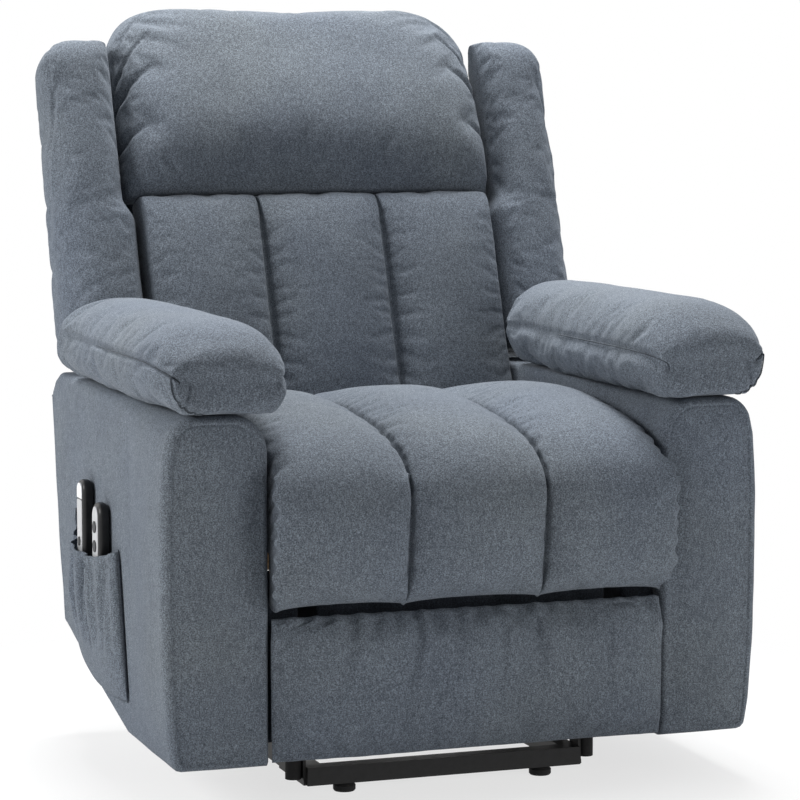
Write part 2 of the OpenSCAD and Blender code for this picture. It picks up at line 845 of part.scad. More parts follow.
// Places a handset piece: x inwards from its face, y across it, z up from its top
module on_handset(set) {
    translate([-handset_x - handset_t, set[0], set[1]]) children();
}

module handset_body(w, h) {
    rim = 3;
    hull() {
        translate([rim, 0, -h]) cube([handset_t - rim, w, h]);
        translate([0, rim, -h + rim]) cube([rim, w - 2 * rim, h - 2 * rim]);
    }
}

module button_at(w, k, r, depth, rise) {
    translate([-rise, w / 2, -button_top - k * button_step]) rotate([0, 90, 0])
        cylinder(r = r, h = depth + rise);
}

module handset_button(set, w, k, r) {
    color("black") on_handset(set) button_at(w, k, r, button_seat - 2, button_rise);
}

module lift_handset() {
    color("dimgray") on_handset(lift_set) difference() {
        handset_body(handset_w, handset_l);
        for (k = [0, 1]) button_at(handset_w, k, button_r, button_seat, 1);
    }
}

module raise_button() {
    handset_button(lift_set, handset_w, 0, button_r - 0.1);
}

module lower_button() {
    handset_button(lift_set, handset_w, 1, button_r - 0.1);
}

massage_w = handset_w - 4;

module massage_handset() {
    color("dimgray") on_handset(massage_set) difference() {
        translate([0, 0, -cap_h]) handset_body(massage_w, handset_l - cap_h);
        for (k = [2, 3]) button_at(massage_w, k, button_r - 2, button_seat, 1);
    }
}

module handset_cap() {
    color("silver") on_handset(massage_set) translate([1, 1, -cap_h])
        cube([handset_t - 2, massage_w - 2, cap_h]);
}

module massage_button() {
    handset_button(massage_set, massage_w, 2, button_r - 2.1);
}

module heat_button() {
    handset_button(massage_set, massage_w, 3, button_r - 2.1);
}

base_frame();
levelling_feet();
base_pins();
power_supply();
power_inlet();
lift_arms();
lift_arm_pins();
upper_links();
lift_motor();
lift_rod();
lift_rod_pin();
lift_motor_pin();
chassis_frame();
chassis_pins();
rubber_bumpers();
seat_frame();
seat_springs();
seat_cushion();
left_arm();
right_arm();
left_arm_pad();
right_arm_pad();
side_pocket();
recline_motor();
recline_motor_pin();
recline_rod();
recline_rod_pin();
back_brackets();
back_bolts();
back_frame();
back_cushion();
headrest();
left_wing();
right_wing();
rear_cover();
footrest_drive_cranks();
footrest_crank_pins();
footrest_front_cranks();
footrest_front_crank_pins();
footrest_links();
footrest_link_pins();
footrest_tilt_links();
footrest_tilt_pins();
footrest_brackets();
footrest_board();
footrest_cushion();
lift_handset();
raise_button();
lower_button();
massage_handset();
handset_cap();
massage_button();
heat_button();
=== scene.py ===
"""Looks of a powered lift recliner: upholstery, materials, light and camera round the CAD frame."""
import math

import bpy
import numpy as np
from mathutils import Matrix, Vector, noise


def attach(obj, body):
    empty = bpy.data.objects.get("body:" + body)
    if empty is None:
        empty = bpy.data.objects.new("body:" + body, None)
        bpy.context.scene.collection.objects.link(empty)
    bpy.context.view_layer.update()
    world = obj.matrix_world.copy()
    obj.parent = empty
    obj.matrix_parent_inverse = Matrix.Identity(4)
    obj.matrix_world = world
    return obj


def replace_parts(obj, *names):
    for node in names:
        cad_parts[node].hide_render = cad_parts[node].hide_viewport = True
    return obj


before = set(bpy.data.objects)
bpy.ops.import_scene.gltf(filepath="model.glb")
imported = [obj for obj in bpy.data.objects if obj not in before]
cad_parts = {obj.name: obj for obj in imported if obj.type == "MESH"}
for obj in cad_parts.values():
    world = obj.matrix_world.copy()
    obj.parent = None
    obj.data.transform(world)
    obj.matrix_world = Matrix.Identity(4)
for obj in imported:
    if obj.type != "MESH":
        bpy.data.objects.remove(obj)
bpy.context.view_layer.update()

MM = 0.001

# ---------------------------------------------------------------- sizes, in millimetres
SEAT_HALF = 277              # half width of the seat and back cushions
CHANNEL = 96                 # half width of the middle channel: the seams are at x = +-CHANNEL
SEAT_CROWN, BACK_CROWN = 17, 15      # rise of the channels above their seams
ARM_IN, ARM_OUT, ARM_TOP, ARM_FRONT = 280, 410, 532, -408
HINGE = np.array([165.0, 330.0])     # the back's hinge, y and z
TILT = math.radians(22)      # the back's lean at rest
HEAD_V, BACK_TOP = 467, 794  # where the headrest starts and ends, along the back
FRAME_U, FRAME_REAR_U, FRAME_TOP_V = -30, 22, 690    # the back's wooden frame
FRAME_HALF = 282             # its half width
DECK_TOP, DECK_FRONT = 346, -388     # the seat's wooden frame
PAD_H = 134                  # height of the arm pads
GAP = 0.3                    # clearance between a soft piece and what carries it
CLOTH_T = 1.2                # thickness of the pocket's cloth and of the painted-shade sheets under the seat's lip
WORN = 0.92                  # the right pad is stuffed less full than the left one


# ---------------------------------------------------------------- small maths
def catmull(points, count):
    """A smooth curve through control points, as count points spaced evenly along it."""
    p = np.array(points, float)
    q = np.vstack([p[:1], p, p[-1:]])
    out = []
    for i in range(len(p) - 1):
        a, b, c, d = q[i], q[i + 1], q[i + 2], q[i + 3]
        for t in np.linspace(0, 1, 24, endpoint=False):
            out.append(0.5 * (2 * b + (c - a) * t + (2 * a - 5 * b + 4 * c - d) * t * t
                              + (3 * b - a - 3 * c + d) * t ** 3))
    out.append(p[-1])
    return even(np.array(out), count)


def arc(p):
    """How far along a polyline each of its points lies."""
    return np.concatenate([[0], np.cumsum(np.linalg.norm(np.diff(p, axis=0), axis=1))])


def even(p, count):
    """The same polyline with count points spaced evenly along it."""
    s = arc(p)
    u = np.linspace(0, s[-1], count)
    return np.stack([np.interp(u, s, p[:, k]) for k in range(p.shape[1])], 1)


def side_of(path):
    """Unit vectors square to a flat path, on its right."""
    d = np.gradient(path, axis=0)
    d /= np.linalg.norm(d, axis=1, keepdims=True)
    return np.stack([d[:, 1], -d[:, 0]], 1)


def ramp(x, x0, x1):
    """0 before x0, 1 after x1, smooth between."""
    t = np.clip((np.asarray(x, float) - x0) / (x1 - x0), 0, 1)
    return t * t * (3 - 2 * t)


def bump(x, centre, width):
    """A smooth hill of height 1 at centre."""
    return np.exp(-((np.asarray(x, float) - centre) / width) ** 2)


def field(points, size, seed=0.0):
    """Smooth noise from -1 to 1 at points in millimetres, with features of about size."""
    flat = np.asarray(points, float).reshape(-1, 3) / size
    value = [noise.noise(Vector((a + seed, b - seed, c + 2 * seed))) for a, b, c in flat]
    return np.array(value).reshape(np.asarray(points).shape[:-1])


def wave(s, period, seed):
    """An uneven ripple along s, from -1 to 1."""
    s = np.asarray(s, float)
    drift = 0.35 * np.sin(s / period * 1.7 + seed * 3.1) + 0.5 * np.sin(s / period * 0.61 + seed)
    return np.sin(2 * math.pi * s / period + 2.2 * drift + seed * 5)


def seam_dist(x):
    """Distance from the nearer channel seam."""
    return np.abs(np.abs(x) - CHANNEL)


def puff(t, power=0.5):
    """A round top over t from 0 to 1, steeper at its ends for a smaller power."""
    return np.clip(4 * t * (1 - t), 0, None) ** power


def channel(x, edge, power=0.5):
    """Height of the padded channels at x, 0 on seams and 1 in the middles."""
    a = np.abs(x)
    inner = puff((x + CHANNEL) / (2 * CHANNEL), power)
    outer = puff(np.clip((a - CHANNEL) / (edge - CHANNEL), 0, 1), power)
    return np.where(a < CHANNEL, inner, outer)


def seam_crease(near):
    """Depth of a sewn seam: a thread-wide cut in a soft valley."""
    return -10.0 * np.exp(-(near / 1.4) ** 2) - 2.0 * np.exp(-(near / 7.0) ** 2)


def pinched(grid, xs):
    """The channels of a grid, one row per station xs, leaning over their seams until they touch."""
    seam = np.where(xs < 0, -CHANNEL, CHANNEL)
    off = xs - seam
    grid = grid.copy()
    grid[..., 0] -= (off * 0.58 * np.exp(-(off / 10) ** 2))[:, None]
    return grid


def crowded(edge, n):
    """Stations across three channels, closer together near the seams."""
    t = (1 - np.cos(np.linspace(0, math.pi, n + 1))) / 2
    t = 0.75 * t + 0.25 * np.linspace(0, 1, n + 1)
    left = -edge + (edge - CHANNEL) * t
    mid = -CHANNEL + 2 * CHANNEL * t
    return np.concatenate([left[:-1], mid[:-1], -left[::-1]])


def oval(n, w, h, e):
    """n points round a superellipse of half sizes w and h; a larger e is squarer."""
    a = 2 * math.pi * (np.arange(n) + 0.5) / n
    c, s = np.cos(a), np.sin(a)
    return np.stack([w * np.sign(c) * np.abs(c) ** (2 / e),
                     h * np.sign(s) * np.abs(s) ** (2 / e)], 1)


def on_back(p):
    """Points drawn in the back's own frame (x, depth u, height v), placed on the chair."""
    x, u, v = p[..., 0], p[..., 1], p[..., 2]
    c, s = math.cos(TILT), math.sin(TILT)
    return np.stack([x, HINGE[0] + u * c + v * s, HINGE[1] - u * s + v * c], -1)


# ---------------------------------------------------------------- mesh building
def add_to_scene(name, data):
    """A new object of this mesh, camera or light, linked to the scene."""
    obj = bpy.data.objects.new(name, data)
    bpy.context.scene.collection.objects.link(obj)
    return obj


def mesh_object(name, verts, faces, material, smooth=True):
    mesh = bpy.data.meshes.new(name)
    mesh.from_pydata([tuple(v) for v in np.asarray(verts, float) * MM], [], faces)
    mesh.validate()
    mesh.update()
    obj = add_to_scene(name, mesh)
    if material:
        mesh.materials.append(material)
    if smooth:
        mesh.shade_smooth()
    return obj


def grid_faces(m, n, closed=False):
    """Quads of a grid of m rows of n points; closed joins each row's end to its start."""
    i, j = np.meshgrid(np.arange(m - 1), np.arange(n if closed else n - 1), indexing="ij")
    a, b = i * n + j, i * n + (j + 1) % n
    return np.stack([a, b, b + n, a + n], -1).reshape(-1, 4)


def loft_faces(m, n):
    """Quads between m rings of n points, with the ends closed by strips across."""
    faces = grid_faces(m, n, closed=True).tolist()
    last = (m - 1) * n
    for k in range(n // 2 - 1):
        faces.append([k + 1, k, n - 1 - k, n - 2 - k])
        faces.append([last + k, last + k + 1, last + n - 2 - k, last + n - 1 - k])
    return faces


def normals_of(verts, faces):
    """Unit normals at the vertices of a quad mesh, outwards for a closed one."""
    f = np.array(faces)
    v = verts
    n = np.cross(v[f[:, 2]] - v[f[:, 0]], v[f[:, 3]] - v[f[:, 1]])
    volume = np.einsum("ij,ij->i", v[f].mean(1) - v.mean(0), n).sum()
    out = np.zeros_like(v)
    for k in range(4):
        np.add.at(out, f[:, k], n)
    out /= np.linalg.norm(out, axis=1, keepdims=True) + 1e-9
    return out if volume > 0 else -out


def loft(name, rings, material, relief=None):
    """A closed padded form through rings (m x n x 3), moved along its normals by relief."""
    m, n = rings.shape[:2]
    verts = rings.reshape(-1, 3).copy()
    faces = loft_faces(m, n)
    if relief is not None:
        verts += normals_of(verts, faces) * np.asarray(relief).reshape(-1, 1)
    f = np.array(faces)
    n0 = np.cross(verts[f[:, 2]] - verts[f[:, 0]], verts[f[:, 3]] - verts[f[:, 1]])
    if np.einsum("ij,ij->i", verts[f].mean(1) - verts.mean(0), n0).sum() < 0:
        faces = [q[::-1] for q in faces]
    return mesh_object(name, verts, faces, material)


def blown(grid, held, cap, pressure=4.0, grow=0.03, closed=False, frames=20, bending=0.3,
          flip=False):
    """The grid (m x n x 3) as a cloth blown up from behind and held at its seams.

    The cloth is cut larger by grow, so it puckers where it is held, and no point moves
    further than cap."""
    m, n = grid.shape[:2]
    faces = grid_faces(m, n, closed)
    if flip:
        faces = faces[:, ::-1]
    flat = grid.reshape(-1, 3)
    obj = mesh_object("cloth", flat, faces.tolist(), None)
    group = obj.vertex_groups.new(name="held")
    for weight in np.unique(held):
        if weight > 0:
            group.add(np.flatnonzero(held.ravel() == weight).tolist(), float(weight), "REPLACE")
    mod = obj.modifiers.new("cloth", "CLOTH")
    cloth = mod.settings
    cloth.quality = 4
    cloth.mass = 0.3
    cloth.tension_stiffness = cloth.compression_stiffness = 15
    cloth.shear_stiffness = 5
    cloth.bending_stiffness = bending
    cloth.use_pressure = True
    cloth.uniform_pressure_force = pressure
    cloth.shrink_min = -grow
    cloth.vertex_group_mass = "held"
    cloth.effector_weights.gravity = 0
    mod.collision_settings.use_collision = False
    mod.point_cache.frame_start, mod.point_cache.frame_end = 1, frames
    scene = bpy.context.scene
    for frame_no in range(1, frames + 1):
        scene.frame_set(frame_no)
    solved = obj.evaluated_get(bpy.context.evaluated_depsgraph_get()).data
    co = np.zeros(3 * len(flat))
    solved.vertices.foreach_get("co", co)
    move = co.reshape(-1, 3) / MM - flat
    scene.frame_set(1)
    bpy.data.objects.remove(obj)
    length = np.linalg.norm(move, axis=1, keepdims=True) + 1e-9
    move *= cap * np.tanh(length / cap) / length
    return (flat + move).reshape(grid.shape)


def refine(obj):
    """One round of subdivision, so that folds and crowns have no facets."""
    mod = obj.modifiers.new("subdivision", "SUBSURF")
    mod.levels = mod.render_levels = 1
    return obj


def tube(name, path, radius, material, sides=10):
    """A round cord of fabric along a path of points in millimetres, thinner at both ends."""
    p = np.asarray(path, float)
    k = len(p)
    t = np.gradient(p, axis=0)
    t /= np.linalg.norm(t, axis=1, keepdims=True) + 1e-9
    up = np.array([0.0, 0.0, 1.0]) if abs(t[0][2]) < 0.9 else np.array([1.0, 0.0, 0.0])
    side = np.cross(t[0], up)
    side /= np.linalg.norm(side)
    rings = []
    for i in range(k):
        side = side - t[i] * side.dot(t[i])
        side /= np.linalg.norm(side) + 1e-9
        other = np.cross(t[i], side)
        r = radius * min(1.0, 0.35 + 0.65 * min(i, k - 1 - i) / 3)
        a = 2 * math.pi * np.arange(sides) / sides
        rings.append(p[i] + r * (np.cos(a)[:, None] * side + np.sin(a)[:, None] * other))
    rings = np.array(rings)
    faces = [q[::-1] for q in loft_faces(k, sides)]
    return mesh_object(name, rings.reshape(-1, 3), faces, material)


def mirrored(obj, name):
    """A copy of a piece on the other side of the chair."""
    other = obj.copy()
    other.data = obj.data.copy()
    other.name = name
    bpy.context.scene.collection.objects.link(other)
    co = np.zeros(3 * len(other.data.vertices))
    other.data.vertices.foreach_get("co", co)
    co[::3] *= -1
    other.data.vertices.foreach_set("co", co)
    other.data.flip_normals()
    other.data.update()
    return other


def pressed(obj, low, share):
    """The piece pressed down to a share of its height above low."""
    co = np.zeros(3 * len(obj.data.vertices))
    obj.data.vertices.foreach_get("co", co)
    high = co[2::3] - low * MM
    co[2::3] -= np.maximum(high, 0) * (1 - share)
    obj.data.vertices.foreach_set("co", co)
    obj.data.update()
    return obj


def place(obj, body, slot, *nodes, fill=None):
    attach(obj, body)
    if nodes:
        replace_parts(obj, *nodes)
    return obj


# ---------------------------------------------------------------- materials
def link(tree, source, target):
    tree.links.new(source, target)


def new_material(name):
    """A node material, its node tree and its Principled shader."""
    m = bpy.data.materials.new(name)
    m.use_nodes = True
    tree = m.node_tree
    shader = tree.nodes["Principled BSDF"]
    return m, tree, shader


def add(tree, kind, **values):
    """A new node; each value sets the input or the property of its name."""
    node = tree.nodes.new(kind)
    for key, value in values.items():
        if key in node.inputs:
            node.inputs[key].default_value = value
        else:
            setattr(node, key, value)
    return node


def texture(tree, coords, kind, scale, detail=2.0, rough=0.5, stretch=None):
    """A texture node of a scale, read at coords, which stretch may draw out along an axis."""
    node = add(tree, kind, Scale=scale, Detail=detail, Roughness=rough)
    if stretch:
        mapping = add(tree, "ShaderNodeMapping", Scale=stretch)
        link(tree, coords, mapping.inputs["Vector"])
        coords = mapping.outputs["Vector"]
    link(tree, coords, node.inputs["Vector"])
    return node


def color_ramp(tree, source, stops):
    """A colour between stops, each a position and a colour, where source says."""
    node = add(tree, "ShaderNodeValToRGB")
    elements = node.color_ramp.elements
    elements[0].position, elements[0].color = stops[0][0], (*stops[0][1], 1)
    elements[1].position, elements[1].color = stops[-1][0], (*stops[-1][1], 1)
    for pos, col in stops[1:-1]:
        e = elements.new(pos)
        e.color = (*col, 1)
    link(tree, source, node.inputs["Fac"])
    return node.outputs["Color"]


def mix(tree, a, b, fac, kind="MIX"):
    """Two colours blended; each of a, b and fac is a socket or a value."""
    node = add(tree, "ShaderNodeMix", data_type="RGBA", blend_type=kind)
    for value, socket in ((a, node.inputs[6]), (b, node.inputs[7]), (fac, node.inputs[0])):
        if hasattr(value, "is_linked"):
            link(tree, value, socket)
        elif isinstance(value, tuple):
            socket.default_value = (*value, 1)
        else:
            socket.default_value = value
    return node.outputs[2]


def fabric_material(name, base, nap=1.0):
    """Heathered short-pile microfibre: light and dark flecks, a cloudy nap and a soft pile."""
    m, tree, shader = new_material(name)
    coords = add(tree, "ShaderNodeTexCoord").outputs["Object"]
    fleck = texture(tree, coords, "ShaderNodeTexNoise", 620, 3, 0.62)
    dark = tuple(c * 0.5 for c in base)
    light = tuple(min(1, c * 1.52) for c in base)
    col = color_ramp(tree, fleck.outputs["Fac"], [(0.33, dark), (0.5, base), (0.67, light)])
    # streaks, knots, a cloudy nap and a broad drift, each a tint between two stops
    for shape, low, deep, high, bright, share in (
        ((260, 2, 0.6, (1, 1, 0.42)), 0.35, (0.84, 0.84, 0.84), 0.65, (1.13, 1.13, 1.12), 1.0),
        ((560, 2, 0.6), 0.38, (0.74, 0.74, 0.75), 0.62, (1.24, 1.24, 1.23), 1.0),
        ((11, 4, 0.62), 0.3, (0.88, 0.885, 0.9), 0.7, (1.11, 1.11, 1.1), 0.75 * nap),
        ((3.4, 2, 0.5), 0.3, (0.95, 0.965, 1.0), 0.7, (1.04, 1.03, 0.99), 1.0),
    ):
        layer = texture(tree, coords, "ShaderNodeTexNoise", *shape)
        tint = color_ramp(tree, layer.outputs["Fac"], [(low, deep), (high, bright)])
        col = mix(tree, col, tint, share, "MULTIPLY")
    link(tree, col, shader.inputs["Base Color"])
    shader.inputs["Roughness"].default_value = 0.95
    shader.inputs["Specular IOR Level"].default_value = 0.18
    shader.inputs["Sheen Weight"].default_value = 0.09
    shader.inputs["Sheen Roughness"].default_value = 0.45
    shader.inputs["Sheen Tint"].default_value = (0.75, 0.83, 0.92, 1)
    # soft lumps, felted cells and a fine pile, stacked as bumps
    below = None
    for kind, shape, strength, distance in (("Noise", (60, 3, 0.55), 0.25, 0.0025),
                                            ("Voronoi", (700,), 0.3, 0.0006),
                                            ("Noise", (850, 3, 0.7), 0.35, 0.0008)):
        height = texture(tree, coords, "ShaderNodeTex" + kind, *shape)
        bumps = add(tree, "ShaderNodeBump", Strength=strength, Distance=distance)
        link(tree, height.outputs[0], bumps.inputs["Height"])
        if below:
            link(tree, below, bumps.inputs["Normal"])
        below = bumps.outputs["Normal"]
    link(tree, below, shader.inputs["Normal"])
    return m


def hard_material(name, base, rough, metallic=0.0, grain=400.0, bump_mm=0.1, wear=0.12, coat=0.0,
                  stretch=None):
    """Moulded, painted or plated surface with a fine grain, faint marks and uneven gloss."""
    m, tree, shader = new_material(name)
    coords = add(tree, "ShaderNodeTexCoord").outputs["Object"]
    fine = texture(tree, coords, "ShaderNodeTexNoise", grain, 3, 0.6, stretch)
    marks = texture(tree, coords, "ShaderNodeTexNoise", grain / 14, 5, 0.65, stretch)
    light = tuple(min(1, c * (1 + wear) + 0.025 * wear) for c in base)
    dark = tuple(c * (1 - wear) for c in base)
    col = color_ramp(tree, marks.outputs["Fac"], [(0.3, dark), (0.7, light)])
    link(tree, col, shader.inputs["Base Color"])
    gloss = add(tree, "ShaderNodeMapRange",
                **{"To Min": max(0.05, rough - 0.09), "To Max": min(1, rough + 0.1)})
    link(tree, marks.outputs["Fac"], gloss.inputs["Value"])
    link(tree, gloss.outputs["Result"], shader.inputs["Roughness"])
    shader.inputs["Metallic"].default_value = metallic
    shader.inputs["Specular IOR Level"].default_value = 0.5 if metallic else 0.3
    shader.inputs["Coat Weight"].default_value = coat
    b = add(tree, "ShaderNodeBump", Strength=0.4, Distance=bump_mm * MM)
    link(tree, fine.outputs["Fac"], b.inputs["Height"])
    link(tree, b.outputs["Normal"], shader.inputs["Normal"])
    return m


def wood_material(name):
    """Pale plywood with long grain and fine pores."""
    m, tree, shader = new_material(name)
    coords = add(tree, "ShaderNodeTexCoord").outputs["Object"]
    grain = texture(tree, coords, "ShaderNodeTexNoise", 30, 6, 0.6, (1, 9, 9))
    rings = texture(tree, coords, "ShaderNodeTexNoise", 240, 3, 0.6, (0.12, 1, 1))
    col = color_ramp(tree, grain.outputs["Fac"],
                     [(0.3, (0.36, 0.22, 0.115)), (0.5, (0.50, 0.33, 0.18)),
                      (0.72, (0.62, 0.44, 0.26))])
    fine = color_ramp(tree, rings.outputs["Fac"],
                      [(0.35, (0.8, 0.78, 0.75)), (0.6, (1.05, 1.04, 1.02))])
    link(tree, mix(tree, col, fine, 1.0, "MULTIPLY"), shader.inputs["Base Color"])
    shader.inputs["Roughness"].default_value = 0.72
    b = add(tree, "ShaderNodeBump", Strength=0.3, Distance=0.0004)
    link(tree, rings.outputs["Fac"], b.inputs["Height"])
    link(tree, b.outputs["Normal"], shader.inputs["Normal"])
    return m


BASE = (0.102, 0.117, 0.139)     # the upholstery's grey blue
FABRIC = fabric_material("fabric", BASE)
# near-black cloth: the pocket's real dark piping, and painted shade in the sheets under the seat's
# lip
DARK_PIPING_AND_SHADE_CLOTH = fabric_material("dark_piping_and_shade_cloth", (0.02, 0.024, 0.032), 0.4)
THREAD = fabric_material("thread", tuple(c * 0.55 for c in BASE), 0.2)
BLACK_STEEL = hard_material("black_powder_coat", (0.004, 0.004, 0.0044), 0.5, 0.0, 900, 0.12, 0.3)
ZINC = hard_material("zinc_plate", (0.52, 0.52, 0.53), 0.32, 1.0, 500, 0.03, 0.1)
SPRING = hard_material("spring_wire", (0.20, 0.20, 0.21), 0.38, 1.0, 600, 0.03, 0.2)
RUBBER = hard_material("rubber", (0.008, 0.008, 0.0085), 0.78, 0.0, 700, 0.2, 0.3)
BLACK_PLASTIC = hard_material("black_plastic", (0.004, 0.0042, 0.005), 0.36, 0.0, 1400, 0.05, 0.2)
BUTTON = hard_material("button_plastic", (0.022, 0.023, 0.026), 0.5, 0.0, 1200, 0.06, 0.2)
SILVER = hard_material("handset_face", (0.42, 0.425, 0.435), 0.4, 0.25, 1500, 0.04, 0.1)
CAP = hard_material("cap_plastic", (0.66, 0.67, 0.68), 0.36, 0.1, 1500, 0.04, 0.07)
WOOD = wood_material("plywood")

for names, material, slot in (
    ("base_frame lift_arms upper_links chassis_frame back_brackets footrest_drive_cranks "
     "footrest_front_cranks footrest_links footrest_tilt_links footrest_brackets",
     BLACK_STEEL, "black_steel"),
    ("base_pins lift_arm_pins chassis_pins lift_motor_pin lift_rod_pin recline_motor_pin "
     "recline_rod_pin back_bolts footrest_crank_pins footrest_front_crank_pins "
     "footrest_link_pins footrest_tilt_pins lift_rod recline_rod", ZINC, "zinc_steel"),
    ("levelling_feet rubber_bumpers", RUBBER, "rubber"),
    ("power_supply lift_motor recline_motor", BLACK_PLASTIC, "black_plastic"),
    ("power_inlet raise_button lower_button massage_button heat_button", BUTTON,
     "button_plastic"),
    ("seat_springs", SPRING, "spring_steel"),
    ("seat_frame back_frame footrest_board", WOOD, "wood"),
    ("lift_handset massage_handset", BLACK_PLASTIC, "handset_plastic"),
    ("handset_cap", CAP, "cap_plastic"),
):
    for node_name in names.split():
        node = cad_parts[node_name]
        if node.data.materials:
            for k in range(len(node.data.materials)):
                node.data.materials[k] = material
        else:
            node.data.materials.append(material)


# ---------------------------------------------------------------- seat cushion
def border(m, n):
    """Weights that hold a cloth of m x n points at its edges."""
    held = np.zeros((m, n))
    held[[0, -1]] = 1
    held[:, :2] = held[:, -2:] = 1
    return held


def sewn(xs, front, rear, lumps, **blowing):
    """Rings and relief of a cushion of three channels, sewn down along both seams."""
    rows = front.shape[1]
    held = border(len(xs), rows)
    held[seam_dist(xs) < 0.5] = 1
    front = pinched(blown(front, held, **blowing), xs)
    rings = np.concatenate([front, rear[:, ::-1]], 1)
    near = seam_dist(xs)[:, None]
    relief = 1.6 * field(rings, *lumps) * np.clip(near / 30, 0, 1) + seam_crease(near)
    relief[:, rows:] = 0
    relief[:, :rows] *= np.clip(np.sin(math.pi * np.linspace(0, 1, rows)) * 6, 0, 1)
    return rings, relief


def seat_cushion():
    n, rows = 26, 130
    xs = crowded(SEAT_HALF, n)
    control = [(106, 492), (-125, 506), (-277, 496), (-380, 474), (-428, 444), (-443, 416),
               (-442, 370), (-437, 325), (-428, 284), (-409, 267)]
    path = catmull(control, rows)
    s = np.linspace(0, 1, rows)
    normal = side_of(path)
    along = arc(path)
    under = even(np.array([(106, DECK_TOP + GAP), (DECK_FRONT - GAP, DECK_TOP + GAP),
                           (DECK_FRONT - GAP, 275)], float), rows)
    hold = np.clip(np.sin(math.pi * s), 0, 1) ** (0.42 + 0.6 * (1 - ramp(s, 0.1, 0.5)))
    top, base = np.zeros((len(xs), rows, 3)), np.zeros((len(xs), rows, 3))
    for k, x in enumerate(xs):
        c = float(channel(x, SEAT_HALF, 0.36))
        q = path + normal * (SEAT_CROWN * c * hold)[:, None]
        # the front lip tucks under between the seams
        q[:, 1] += ramp(along, along[-1] - 60, along[-1]) * 11 * c
        t = min(max((abs(x) - CHANNEL) / (SEAT_HALF - CHANNEL), 0), 1)
        wide = 34 * np.sign(x) * math.sin(math.pi * t ** 3.7) * ramp(-q[:, 0], 416, 440)
        wide *= 0.92 + 0.13 * wave(along, 26, 4 + np.sign(x))
        wide -= (np.sign(x) * 2.5 * t ** 6 * (1 + wave(along, 29, 1.1 + np.sign(x)))
                 * np.maximum(ramp(q[:, 1], 365, 400), 1 - ramp(q[:, 1], 285, 310)))
        top[k] = np.stack([x + wide, q[:, 0], q[:, 1]], 1)
        base[k] = np.stack([np.full(rows, x), under[:, 0], under[:, 1]], 1)
    rings, relief = sewn(xs, top, base, (95, 1.3), cap=17, pressure=9, grow=0.024)
    obj = refine(loft("seat_cushion_cover", rings, FABRIC, relief))
    place(obj, "chassis", "fabric", "seat_cushion", fill=0.75)


seat_cushion()


# ---------------------------------------------------------------- back
# each pleat of the headrest: where it starts up the front, its lean, its reach and its depth
PLEATS = ((118, 0.10, 52, 5.0), (205, 0.30, 62, 6.5), (252, 0.62, 66, 7.0), (296, 1.0, 50, 6.0))


def back_cushion():
    n, rows = 24, 90
    xs = crowded(SEAT_HALF, n)
    path = catmull([(-34, 74), (-70, 82), (-92, 130), (-92, 150), (-95, 260), (-98, 380),
                    (-90, 450), (-60, HEAD_V - 1)], rows)
    s = np.linspace(0, 1, rows)
    normal = -side_of(path)
    hold = np.sin(math.pi * s) ** 0.42
    front, rear = np.zeros((len(xs), rows, 3)), np.zeros((len(xs), rows, 3))
    for k, x in enumerate(xs):
        q = path + normal * (BACK_CROWN * float(channel(x, SEAT_HALF, 0.34)) * hold)[:, None]
        front[k] = np.stack([np.full(rows, x), q[:, 0], q[:, 1]], 1)
        rear[k] = np.stack([np.full(rows, x), np.full(rows, FRAME_U - GAP),
                            np.linspace(74, HEAD_V - 1, rows)], 1)
    rings, relief = sewn(xs, on_back(front), on_back(rear), (90, 3.1), cap=15, pressure=10,
                         grow=0.02, flip=True)
    obj = refine(loft("back_cushion_cover", rings, FABRIC, relief))
    place(obj, "back", "fabric", "back_cushion", fill=0.7)


